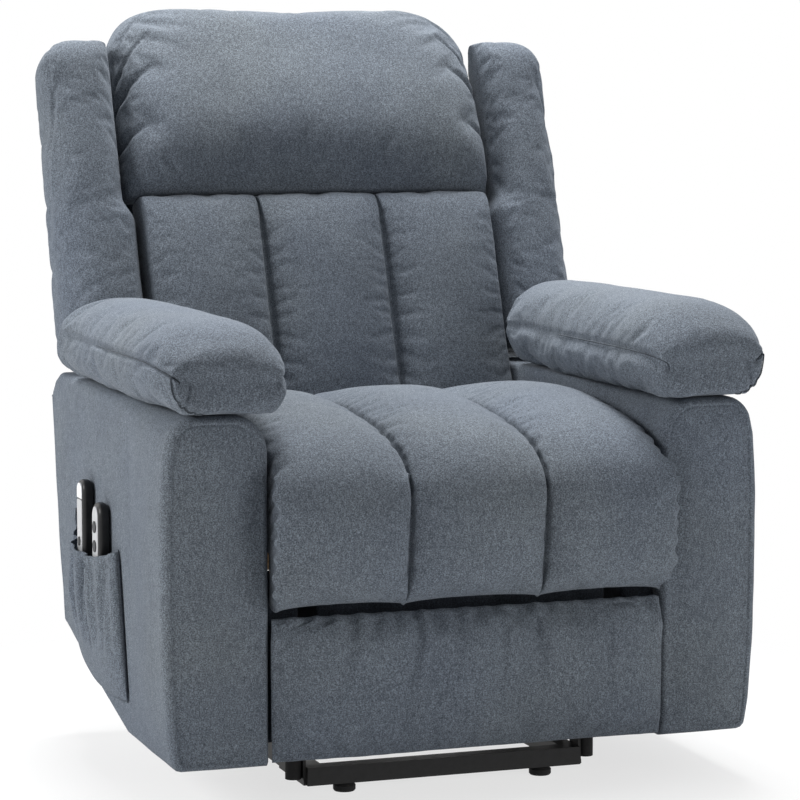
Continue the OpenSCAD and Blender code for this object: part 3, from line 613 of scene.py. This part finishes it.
def headrest():
    m, rows = 92, 100
    path = catmull([(-78, HEAD_V + GAP), (-108, HEAD_V + 30), (-116, HEAD_V + 90),
                    (-108, HEAD_V + 160), (-92, HEAD_V + 220), (-66, BACK_TOP - 40),
                    (-30, BACK_TOP - 8), (0, BACK_TOP), (23, BACK_TOP - 34),
                    (FRAME_REAR_U + 10, FRAME_TOP_V + 1.5)], rows)
    u0 = FRAME_U - GAP
    below = even(np.array([(u0, HEAD_V + GAP), (u0, FRAME_TOP_V + GAP),
                           (FRAME_REAR_U + 0.5, FRAME_TOP_V + GAP)], float), rows)
    half = ARM_IN + 14
    t = np.linspace(0, 1, m)
    cs = 0.55 * -np.cos(math.pi * t) + 0.45 * (2 * t - 1)
    s = np.linspace(0, 1, rows)
    along = arc(path)
    front, rear = np.zeros((m, rows, 3)), np.zeros((m, rows, 3))
    held, pleats = border(m, rows), np.zeros((m, rows))
    for k, c in enumerate(cs):
        full = max(max((1 - abs(c) ** 9), 0) ** 0.4, 0.25)
        q = below + (path - below) * full
        x = half * c
        front[k] = np.stack([x * (1 - 0.035 * ramp(q[:, 1], 690, BACK_TOP)), q[:, 0], q[:, 1]], 1)
        rear[k] = np.stack([np.full(rows, x), below[:, 0], below[:, 1]], 1)
        inward = half - abs(x)
        # pleats fan in from each upper end, where the case is folded round the corner
        for at, slope, reach, deep in PLEATS:
            strength = np.clip(1 - inward / reach, 0, 1)
            centre = at + slope * inward
            pleats[k] -= deep * strength ** 0.7 * bump(along, centre, 4.5)
            if strength > 0.12:
                held[k, np.argmin(np.abs(along - centre))] = 1
    front = on_back(front)
    f = np.concatenate([front, on_back(rear)[:, ::-1]], 1).reshape(-1, 3)
    normal = normals_of(f, loft_faces(m, 2 * rows)).reshape(m, 2 * rows, 3)[:, :rows]
    front = blown(front + normal * pleats[..., None], held, 12, pressure=7, grow=0.025, flip=True)
    rings = np.concatenate([front, on_back(rear)[:, ::-1]], 1)
    relief = 2.2 * field(rings, 120, 5.5) + 0.6 * field(rings, 36, 2.2)
    relief[:, rows:] = 0
    relief[:, :rows] *= np.clip(np.sin(math.pi * s) * 2.2, 0, 1)
    relief[:, :rows] += 0.8 * pleats
    obj = refine(loft("headrest_pillow", rings, FABRIC, relief))
    place(obj, "back", "fabric", "headrest", fill=0.8)


def round_off(dv, r):
    """How far an edge rounded by r draws in, at dv from its end."""
    return 0 if dv > r else r - math.sqrt(max(r * r - (r - dv) ** 2, 0))


def wing():
    m, n = 96, 72
    low, top = 225, 720
    t = (1 - np.cos(np.linspace(0, math.pi, m))) / 2
    t = 0.6 * t + 0.4 * np.linspace(0, 1, m)
    a = 2 * math.pi * (np.arange(n) + 0.5) / n
    welt = int(np.argmin(np.abs(np.angle(np.exp(1j * (a + math.radians(36)))))))
    rings = []
    for tt in t:
        v = low + (top - low) * tt
        shrink = max(round_off(top - v, 48), round_off(v - low, 26))
        inner = FRAME_HALF + GAP + 16 * min(max((v - HEAD_V + 35) / 25, 0), 1)
        outer = ARM_IN + 124 - shrink
        front, rear = -101 + 0.8 * shrink, 54 - 58 * tt - 0.8 * shrink
        p = oval(n, (outer - inner) / 2, (rear - front) / 2, 3.2)
        x, u = (inner + outer) / 2 + p[:, 0], (front + rear) / 2 + p[:, 1]
        rings.append(np.stack([x, u, np.full(n, v)], 1))
    rings = np.array(rings)
    x, u, v = rings[..., 0], rings[..., 1], rings[..., 2]
    held = np.zeros((m, n))
    # the welt between the front and the side panel, the inner side and the rear stay put
    held[:, welt] = 1
    held[x < ARM_IN + 20] = 1
    held[u > 0.5 * (54 - 58 * (v - low) / (top - low))] = 1
    held[:2] = held[-2:] = 1
    # a crease runs up the side panel towards its front edge
    line = -13 - 90 * (v - 310) / 364
    crease = -4.0 * bump(u, line, 5) * ramp(x, ARM_IN + 95, ARM_IN + 115) * ramp(v, 240, 300)
    normal = normals_of(rings.reshape(-1, 3), loft_faces(m, n)).reshape(m, n, 3)
    rings = rings + normal * (crease - 3.0 * (np.arange(n) == welt))[..., None]
    rings = blown(on_back(rings), held, 7, pressure=6, grow=0.022, closed=True)
    relief = 1.6 * field(rings, 110, 4.2)
    relief *= np.clip(np.sin(math.pi * t) * 8, 0, 1)[:, None]
    obj = refine(loft("left_wing_cover", rings, FABRIC, relief))
    other = mirrored(obj, "right_wing_cover")
    place(obj, "back", "fabric", "left_wing", fill=0.6)
    place(other, "back", "fabric", "right_wing", fill=0.6)


def rear_cover():
    m, n = 60, 80
    half = FRAME_HALF - 0.5
    xs = -half * np.cos(np.linspace(0, math.pi, m))
    v = 40 + (FRAME_TOP_V - 40) * (1 - np.cos(np.linspace(0, math.pi, n))) / 2
    rings = np.zeros((m, 2 * n, 3))
    for k, x in enumerate(xs):
        fx = max(1 - abs(x / half) ** 14, 0) ** 0.5
        fv = np.clip(1 - np.abs(2 * (v - 40) / (FRAME_TOP_V - 40) - 1) ** 26, 0, 1) ** 0.5
        depth = 3 + 18 * fx * fv
        u = FRAME_REAR_U + GAP + depth
        rings[k, :n] = np.stack([np.full(n, x), np.full(n, FRAME_REAR_U + GAP), v[::-1]], 1)
        rings[k, n:] = np.stack([np.full(n, x), u, v], 1)
    relief = 1.6 * field(rings, 130, 6.1) + 0.5 * field(rings, 40, 1.1)
    seam = -2.4 * np.exp(-((rings[..., 2] - 300) / 2.2) ** 2)
    relief = (relief + seam) * (np.arange(2 * n) >= n)
    obj = loft("rear_panel", on_back(rings), FABRIC, relief)
    place(obj, "back", "fabric", "rear_cover", fill=0.3)


back_cushion()
headrest()
wing()
rear_cover()


# ---------------------------------------------------------------- arms
ARM_LOW_LINE = np.array([(ARM_FRONT, 64), (-155, 64), (-12, 96), (107, 129), (221, 155), (252, 308),
                         (278, 455), (284, 490)], float)
ARM_HIGH_LINE = np.array([(ARM_FRONT, ARM_TOP), (236, ARM_TOP), (262, 522), (278, 506),
                          (284, 494)], float)


def arm_outline(x0, x1, z0, z1, radii, n):
    """A rounded rectangle of n points; radii are those of the outer low, outer high, inner
    high and inner low corners."""
    corners = np.array([(x1, z0), (x1, z1), (x0, z1), (x0, z0)], float)
    dense = []
    for c in range(4):
        before, at, after = corners[c - 1], corners[c], corners[(c + 1) % 4]
        a, b = np.linalg.norm(before - at), np.linalg.norm(after - at)
        r = max(min(radii[c], a / 2.05, b / 2.05), 0.01)
        d0, d1 = (before - at) / a, (after - at) / b
        for ang in np.linspace(0, math.pi / 2, 12):
            dense.append(at + (d0 + d1) * r - d1 * r * math.cos(ang) - d0 * r * math.sin(ang))
    return even(np.array(dense + [dense[0]]), n + 1)[:-1]


def arm_panel(name, flat):
    n = 190
    # the front face starts as rings drawn in from its outline, then the sides run to the rear
    insets = np.concatenate([np.linspace(34, 18, 6), np.linspace(16, 7, 9), [5.5, 4, 2.5, 1.2]])
    ys = np.concatenate([ARM_FRONT + 16 * (1 - np.cos(np.linspace(0, math.pi / 2, 14))),
                         np.linspace(-388, 225, 130),
                         np.linspace(228, 284, 26)])
    near = np.array([(-340, 0), (-182, 1)], float)
    swell_line = np.array([(0.12, 0.1), (0.2, 0.5), (0.35, 0.85), (0.55, 1), (0.75, 1),
                           (0.9, 0.75), (1, 0)], float)
    rings, relief = [], []
    for k in range(len(insets) + len(ys)):
        front = k < len(insets)
        y = ARM_FRONT if front else ys[k - len(insets)]
        f = np.clip((y - ARM_FRONT) / 16, 0, 1)
        inset = 10 * (1 - math.sqrt(max(1 - (1 - f) ** 2, 0))) + (insets[k] if front else 0)
        z0 = np.interp(y, *ARM_LOW_LINE.T) + inset
        z1 = np.interp(y, *ARM_HIGH_LINE.T) - inset
        x0, x1 = ARM_IN + inset, ARM_OUT - inset
        ease = 1 - float(ramp(y, -240, -90))
        radii = np.maximum(np.array([12, 10 + 20 * ease, 3 + 47 * ease, 3]) - 0.8 * inset, 2)
        out = arm_outline(x0, x1, z0, max(z1, z0 + 2), radii, n)
        nb = np.interp(y, near[:, 0], near[:, 1])
        swell = 17 * (1 - flat * nb) * np.interp(out[:, 1] / ARM_TOP, *swell_line.T)
        outer = np.clip((out[:, 0] - ARM_IN) / (ARM_OUT - ARM_IN), 0, 1) ** 2
        out[:, 0] += swell * outer * np.clip((z1 + 8 - out[:, 1]) / 12, 0.0, 1)
        full = 5.0 * float(ramp(insets[k], 2, 34)) if front else 0
        rings.append(np.stack([out[:, 0], np.full(n, y - full), out[:, 1]], 1))
        # the face is sewn on a little way in from its outer and upper edges
        welt = -1.7 * bump(inset, 11.5, 1.5) if front else 0
        relief.append(welt * np.maximum(ramp(out[:, 0], ARM_IN + 28, ARM_IN + 45),
                                        ramp(out[:, 1], ARM_TOP - 70, ARM_TOP - 50)))
    rings, relief = np.array(rings), np.array(relief)
    wide = ramp(rings[..., 0], ARM_OUT - 60, ARM_OUT - 20)
    soft = (1.8 * field(rings, 140, 2.6) + 0.6 * field(rings, 40, 3.3)) * wide
    flat_here = flat * np.interp(rings[..., 1], near[:, 0], near[:, 1]) > 0.2
    soft = np.where(flat_here, np.minimum(soft, 0.2), soft)
    return loft(name, rings, FABRIC, soft + relief)


left_arm = arm_panel("left_arm_cover", 0)
place(left_arm, "chassis", "fabric", "left_arm", fill=0.35)
right_arm = mirrored(arm_panel("right_arm_source", 1), "right_arm_cover")
bpy.data.objects.remove(bpy.data.objects["right_arm_source"])
place(right_arm, "chassis", "fabric", "right_arm", fill=0.35)


def arm_pad():
    m, n = 104, 96
    front, rear = -440.0, 146.0
    t = np.linspace(0, 1, m)
    ys = front + (rear - front) * (0.45 * t + 0.55 * (1 - np.cos(math.pi * t)) / 2)
    low = ARM_TOP + GAP
    a = 2 * math.pi * (np.arange(n) + 0.5) / n
    seams = [int(np.argmin(np.abs(a - math.radians(deg)))) for deg in (8, 180)]
    cap = int(np.argmin(np.abs(a - math.radians(318))))
    rings = []
    for y in ys:
        f = min((y - front) / 130, 1)
        r = min((rear - y) / 50, 1)
        grow = max(1 - (1 - f) ** 2.2, 0) ** (1 / 2.2) * max(1 - (1 - r) ** 3, 0) ** (1 / 3)
        grow = max(grow, 0.12 if rings else 0.03)
        back = max(0, min((y - 96) / 44, 1))
        inner = ARM_IN - 31 + 34 * back
        outer = ARM_OUT + 27
        mid = low + PAD_H * (0.45 - 0.1 * (1 - grow))
        p = oval(n, (outer - inner) / 2, PAD_H * 0.47, 2.4)
        # the front panel below the seam stands upright, the top rolls over to it
        f = min((y - front) / 34, 1)
        upright = max(1 - (1 - f) ** 3, 0) ** (1 / 3) * max(1 - (1 - r) ** 3, 0) ** (1 / 3)
        p[:, 1] *= np.where(p[:, 1] < 0, max(upright, grow) / grow, 1)
        x = (inner + outer) / 2 + p[:, 0] * (0.68 + 0.32 * grow)
        # its inner side hangs a little over the rounded edge of the arm
        over = 13 * (1 - ramp(x, ARM_IN - 4, ARM_IN + 12)) * (1 - ramp(y, -60, 40))
        arch = 9 * bump(x, 350, 45) * (1 - ramp(y, -425, -395))
        z = np.maximum(low - over + arch, mid + p[:, 1] * grow - 0.6 * over * (p[:, 1] < 0))
        rings.append(np.stack([x, np.full(n, y), z], 1))
    rings = np.array(rings)
    x, y, z = rings[..., 0], rings[..., 1], rings[..., 2]
    # a seam runs round the pad between its top and its lower panel, with a short one in front
    held = np.zeros((m, n))
    held[:, seams] = 1
    held[:5, cap] = 1
    held[(z < low + 4) & (x > ARM_IN)] = 1
    held[y > 118] = 1
    held[:1] = 1
    dip = np.zeros((m, n))
    dip[:, seams] = -5.0
    dip[:5, cap] = -3.0
    dip *= 1 - ramp(y, 60, 120)
    normal = normals_of(rings.reshape(-1, 3), loft_faces(m, n)).reshape(m, n, 3)
    rings = blown(rings + normal * dip[..., None], held, 8, pressure=7, grow=0.03, closed=True,
                  flip=True)
    rings[0, :, 1] += 6
    rings[..., 2] += 7 * bump(x, 370, 50) * (1 - ramp(y, front, front + 40)) * (z > low + 20)
    rings[..., 2] = np.maximum(rings[..., 2], low - 14 * (1 - ramp(x, ARM_IN - 8, ARM_IN + 12)))
    relief = 1.8 * field(rings, 120, 8.1) + 0.6 * dip
    relief = np.where(z < ARM_TOP + 6, np.minimum(relief, 0), relief)
    centre = rings.mean(1, keepdims=True)
    out = (rings - centre) / np.linalg.norm(rings - centre, axis=2, keepdims=True)
    skin = rings + 0.4 * out
    # stitching: round the front from one side seam to the other, and down its outer corner
    outer_end, inner_end = skin[0, seams[0]], skin[0, seams[1]]
    nose = outer_end + np.linspace(0, 1, 14)[:, None] * (inner_end - outer_end)
    nose[:, 1] -= 1.2
    round_seam = np.concatenate([skin[60:0:-1, seams[0]], nose, skin[1:60, seams[1]]])
    down = [skin[3, j % n] for j in range(seams[0], seams[0] - 22, -1)]
    for label, path in (("round", round_seam), ("corner", np.array(down))):
        line = tube("left_pad_%s_stitching" % label, even(path, 160), 0.9, THREAD, sides=6)
        place(line, "chassis", "fabric")
        place(pressed(mirrored(line, "right_pad_%s_stitching" % label), low, WORN), "chassis",
              "fabric")
    obj = refine(loft("left_arm_pad_cover", rings, FABRIC, relief))
    other = pressed(mirrored(obj, "right_arm_pad_cover"), low, WORN)
    place(obj, "chassis", "fabric", "left_arm_pad", fill=0.85)
    place(other, "chassis", "fabric", "right_arm_pad", fill=0.85)


arm_pad()


# ---------------------------------------------------------------- footrest pad
def footrest_pad():
    m, n = 96, 60
    half, mid, tall, y1 = 279, 165, 96, -399 - GAP
    t = np.linspace(0, 1, m)
    cs = -np.cos(t * math.pi) * 0.45 + (2 * t - 1) * 0.55
    t = np.linspace(0, 1, n)
    a = -np.cos(t * math.pi) * 0.5 + (2 * t - 1) * 0.5
    front, rear = np.zeros((m, n, 3)), np.zeros((m, n, 3))
    fold = np.zeros((m, n))
    z = mid + tall * a
    for k, c in enumerate(cs):
        side = max((1 - abs(c) ** 6) ** 0.4, 0.35)
        d = np.clip(1 - np.abs(a) ** 5, 0, 1) ** 0.5
        x = half * c
        y = y1 - 6 - 17 * d * side
        wide = 10 * abs(c) ** 4 * ramp(-y, 409, 416) * np.sign(c)
        front[k] = np.stack([x + wide, y, z], 1)
        rear[k] = np.stack([np.full(n, x - 3 * c ** 5), np.full(n, y1), z], 1)
        for x0, lean, deep in ((-92, 0.12, 4.5), (95, -0.16, 5.0), (-30, 0.05, 2.0),
                               (38, -0.08, 2.0), (-180, 0.1, 2.5), (190, -0.1, 2.5)):
            off = x - x0 - lean * (z - mid) - 6 * np.sin((z - mid) / 40)
            fold[k] -= (deep * (bump(off, 0, 4) - 0.5 * bump(off, 10, 7))
                        * ramp(z, mid - 50, mid + 50))
    held = np.zeros((m, n))
    held[[0, -1]] = 1
    held[:, [0, -1]] = 1
    front[..., 1] -= 0.6 * fold
    front = blown(front, held, 9, pressure=5, grow=0.035, flip=True)
    rings = np.concatenate([front, rear[:, ::-1]], 1)
    relief = np.zeros((m, 2 * n))
    relief[:, :n] = fold * 1.3 + 1.6 * field(front, 100, 2.4)
    relief[:, :n] += 3.0 * np.exp(-(mid + tall - z) / 16) * wave(half * cs[:, None], 31, 1.7)
    obj = refine(loft("footrest_pad_cover", rings, FABRIC, relief))
    place(obj, "footrest_panel", "fabric", "footrest_cushion", fill=0.55)


footrest_pad()


# ---------------------------------------------------------------- painted shade: near-black sheets under the seat's lip
def shade_sheet(name, plan, high, low):
    """A near-black sheet of painted shade that hangs behind the lip, where the mechanism lies in
    shade, and closes the view into it.
    """
    plan = np.array(plan, float)
    length = np.linalg.norm(np.diff(plan, axis=0), axis=1).sum()
    m, n = int(length / 6), 16
    line = even(plan, m)
    t = np.linspace(0, 1, n)
    s = np.linspace(0, length, m)
    grid = np.zeros((m, n, 3))
    for k in range(m):
        grid[k, :, 0] = line[k, 0]
        grid[k, :, 1] = line[k, 1] + t * (2.0 * wave(s[k], 62, 2.1) + wave(s[k], 27, 0.4))
        grid[k, :, 2] = high + (low - high) * t
    obj = mesh_object(name, grid.reshape(-1, 3), grid_faces(m, n).tolist(), DARK_PIPING_AND_SHADE_CLOTH)
    mod = obj.modifiers.new("thickness", "SOLIDIFY")
    mod.thickness = CLOTH_T * MM
    place(obj, "chassis", "fabric")


# near-black sheets of painted shade, where the mechanism under the seat's lip lies in shade
shade_sheet("seat_front_shade_sheet", [(-207, -288), (-207, -379), (-205, -381), (205, -381), (207, -379),
                             (207, -288)], 322, 238)
shade_sheet("left_side_shade_sheet", [(233, -288), (233, -379), (236, -381), (279, -381)], 322, 92)
shade_sheet("right_side_shade_sheet", [(-279, -381), (-236, -381), (-233, -379), (-233, -288)], 322, 92)


# ---------------------------------------------------------------- handsets
def handset(name, body, nodes, y, z, thick, faces):
    """A slim moulded remote with rounded edges and plates let into its outer side."""
    n, m = 56, 60
    x1 = ARM_OUT + 0.6
    mid_y, half_y = (y[0] + y[1]) / 2, (y[1] - y[0]) / 2
    top_r = half_y * 0.8
    rings = []
    for zz in z[0] + (z[1] - z[0]) * (1 - np.cos(np.linspace(0, math.pi, m))) / 2:
        cut = max(round_off(z[1] - zz, top_r), round_off(zz - z[0], 4))
        p = oval(n, thick / 2 - 0.35 * cut, half_y - cut, 4.5)
        rings.append(np.stack([-(x1 + thick / 2) + p[:, 0], mid_y + p[:, 1], np.full(n, zz)], 1))
    shell = loft(name + "_body", np.array(rings), BLACK_PLASTIC)
    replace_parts(place(shell, body, "handset_plastic"), *nodes)
    w = half_y * 0.68
    for part, z0, z1, round_top, material in faces:
        outline = [(-w, z0), (w, z0)]
        for ang in np.linspace(0, math.pi, 25):
            outline.append((w * math.cos(ang), z1 - round_top * w * (1 - math.sin(ang))))
        outline = np.array(outline)
        centre = np.array([0, (z0 + z1) / 2])
        verts, count = [], len(outline)
        for scale, depth in ((1, -3.0), (1, 0.1), (0.95, 0.6), (0.5, 0.7)):
            o = centre + (outline - centre) * (scale, 1 - (1 - scale) * 0.35)
            verts.append(np.stack([np.full(count, -(x1 + thick) - depth), mid_y + o[:, 0],
                                   o[:, 1]], 1))
        quads = [list(range(count)), *grid_faces(4, count, closed=True).tolist(),
                 list(range(3 * count, 4 * count))[::-1]]
        plate = mesh_object(name + part, np.concatenate(verts), quads, material, smooth=False)
        place(plate, body, "cap_plastic")


handset("lift_remote", "lift_handset", ["lift_handset"], (-80, -36), (208, 376), 18,
        [("_face", 220, 371, 1, SILVER)])
handset("massage_remote", "massage_handset", ["massage_handset", "handset_cap"], (14, 54),
        (229, 397), 18, [("_face", 241, 369, 0.1, SILVER), ("_cap", 371, 393, 0.8, CAP)])


# ---------------------------------------------------------------- side pocket
def pocket():
    """A gathered sheet on the outside of the right arm, open at the top."""
    m, n = ((120, 110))
    top = np.array([(-124, 316), (-100, 308), (-60, 301), (22, 299), (84, 306), (110, 317),
                    (124, 337)], float)
    low = np.array([(-168, 116), (-150, 114), (-90, 114), (-19, 117), (60, 134), (100, 148)],
                   float)
    tops, lows = catmull(top, m), catmull(low, m)
    rows = []
    for k in range(m):
        u = k / (m - 1)
        p0, p1 = lows[k], tops[k]
        t = np.linspace(0, 1, n)
        pts = p0 + (p1 - p0) * t[:, None]
        side = np.clip(1 - abs(2 * u - 1) ** 4, 0, 1)
        rise = np.clip(np.sin(math.pi * (0.05 + 0.62 * t)), 0, 1) ** 0.55
        bulge = 0.6 + 27.5 * side ** 0.5 * rise
        # folds hang from the elastic and fade towards the bottom seam
        fold = np.sin(u * 2 * math.pi * 7 + 1.5 * math.sin(u * 15) + 0.9 * t)
        hang = ramp(t, 0.2, 0.62) * (1 - 0.5 * ramp(t, 0.9, 0.95))
        gathers = 5.5 * (fold - 0.35 * fold ** 2) * hang
        y = pts[:, 0]
        # the cloth drapes over both handsets and falls in between and beside them
        gathers -= 15 * hang * (bump(y, -11, 10) + bump(y, -104, 9) + bump(y, 82, 11))
        elastic = 0.8 * np.sin(u * 2 * math.pi * 31) * ramp(t, 0.92, 0.94)
        band = -3.0 * bump(t, 0.915, 0.012) + 1.5 * ramp(t, 0.93, 0.95)
        bulge = np.minimum(bulge, 1 + (124 - pts[:, 0]) * 0.4)
        depth = np.clip(bulge + (gathers + elastic + band) * side, 0.6, 35)
        near_sets = (ramp(y, -94, -86) * (1 - ramp(y, -31, -22)) + ramp(y, 0, 9)
                     * (1 - ramp(y, 59, 68))) * ramp(pts[:, 1], 196, 208)
        depth = np.maximum(depth, near_sets * (21.5 + 3.5 * (1 + fold) * hang))
        rows.append(np.stack([-(ARM_OUT + GAP + depth), pts[:, 0], pts[:, 1]], 1))
    obj = mesh_object("side_pocket_cloth", np.array(rows).reshape(-1, 3),
                      grid_faces(m, n).tolist(), FABRIC)
    mod = obj.modifiers.new("thickness", "SOLIDIFY")
    mod.thickness = CLOTH_T * MM
    mod.offset = -1
    place(obj, "chassis", "fabric", "side_pocket")
    for name, off, radius, edge in (
        ("front", 2.4, 1.9, [(-126, 319), (-144, 240), (-161, 160), (-171, 113)]),
        ("rear", 2.0, 1.8, [(126, 344), (119, 260), (110, 190), (102, 146)]),
    ):
        line = np.array([(-(ARM_OUT + off), y, z) for y, z in catmull(edge, 40)])
        place(tube("pocket_%s_piping" % name, line, radius, DARK_PIPING_AND_SHADE_CLOTH), "chassis", "fabric")


pocket()


# ---------------------------------------------------------------- floor, light and camera
def towards(at, aim):
    """The turn that makes a camera or light at one point look at another."""
    return (Vector(aim) - Vector(at)).to_track_quat("-Z", "Y").to_euler()


CAMERA_AT = (-1.413, -4.116, 0.965)
LOOK_AT = (0.0445, 0.0, 0.498)
camera = bpy.data.cameras.new("camera")
camera.lens, camera.sensor_width = 135, 36
camera_object = add_to_scene("camera", camera)
camera_object.location = CAMERA_AT
camera_object.rotation_euler = towards(CAMERA_AT, LOOK_AT)
bpy.context.scene.camera = camera_object


def area_light(name, at, aim, size, power):
    light = bpy.data.lights.new(name, "AREA")
    light.shape = "DISK"
    light.size = size
    light.energy = power
    obj = add_to_scene(name, light)
    obj.location = at
    obj.rotation_euler = towards(at, aim)


area_light("key", (-3.4, 0.1, 2.0), (0, 0, 0.5), 1.6, 110)
area_light("top", (0.3, 0.75, 3.4), (0, -0.1, 0.4), 1.8, 215)
area_light("fill", (2.6, -3.3, 1.3), (0, 0, 0.5), 2.2, 44)
area_light("rim", (1.4, 3.0, 2.4), (0, 0, 0.7), 2.0, 26)


def is_seen(tree):
    """1 for camera, mirror and glass rays, which show the plain white background."""
    path = add(tree, "ShaderNodeLightPath")
    m1 = add(tree, "ShaderNodeMath", operation="MAXIMUM")
    m2 = add(tree, "ShaderNodeMath", operation="MAXIMUM")
    link(tree, path.outputs["Is Camera Ray"], m1.inputs[0])
    link(tree, path.outputs["Is Glossy Ray"], m1.inputs[1])
    link(tree, m1.outputs[0], m2.inputs[0])
    link(tree, path.outputs["Is Transmission Ray"], m2.inputs[1])
    return m2.outputs[0]


world = bpy.data.worlds.new("studio")
bpy.context.scene.world = world
world.use_nodes = True
tree = world.node_tree
lit = tree.nodes["Background"]
lit.inputs["Color"].default_value = (0.93, 0.96, 1.0, 1)
lit.inputs["Strength"].default_value = 0.23
white = add(tree, "ShaderNodeBackground", Color=(1, 1, 1, 1), Strength=1.0)
choose = add(tree, "ShaderNodeMixShader")
link(tree, is_seen(tree), choose.inputs[0])
link(tree, lit.outputs[0], choose.inputs[1])
link(tree, white.outputs[0], choose.inputs[2])
link(tree, choose.outputs[0], tree.nodes["World Output"].inputs["Surface"])

floor_mesh = bpy.data.meshes.new("floor")
FLOOR_R, FLOOR_SIDES = 14.0, 96
ring = [(FLOOR_R * math.cos(a), FLOOR_R * math.sin(a), 0)
        for a in np.linspace(0, 2 * math.pi, FLOOR_SIDES, endpoint=False)]
floor_mesh.from_pydata(ring, [], [list(range(FLOOR_SIDES))])
floor = add_to_scene("floor", floor_mesh)
floor_material, tree, shader = new_material("floor")
shader.inputs["Base Color"].default_value = (0.86, 0.86, 0.86, 1)
shader.inputs["Roughness"].default_value = 0.9
shader.inputs["Specular IOR Level"].default_value = 0.1
glow = add(tree, "ShaderNodeEmission", Color=(1, 1, 1, 1))
coords = add(tree, "ShaderNodeTexCoord").outputs["Object"]
length = add(tree, "ShaderNodeVectorMath", operation="LENGTH")
link(tree, coords, length.inputs[0])
# the floor keeps its shade near the chair and turns white further out
far = add(tree, "ShaderNodeMapRange", interpolation_type="SMOOTHSTEP",
          **{"From Min": 0.4, "From Max": 0.95, "To Min": 0.7})
link(tree, length.outputs["Value"], far.inputs["Value"])
both_rays = add(tree, "ShaderNodeMath", operation="MULTIPLY")
link(tree, far.outputs["Result"], both_rays.inputs[0])
link(tree, is_seen(tree), both_rays.inputs[1])
blend = add(tree, "ShaderNodeMixShader")
link(tree, both_rays.outputs[0], blend.inputs[0])
link(tree, shader.outputs[0], blend.inputs[1])
link(tree, glow.outputs[0], blend.inputs[2])
link(tree, blend.outputs[0], tree.nodes["Material Output"].inputs["Surface"])
floor_mesh.materials.append(floor_material)

bpy.context.scene.view_settings.view_transform = "Standard"
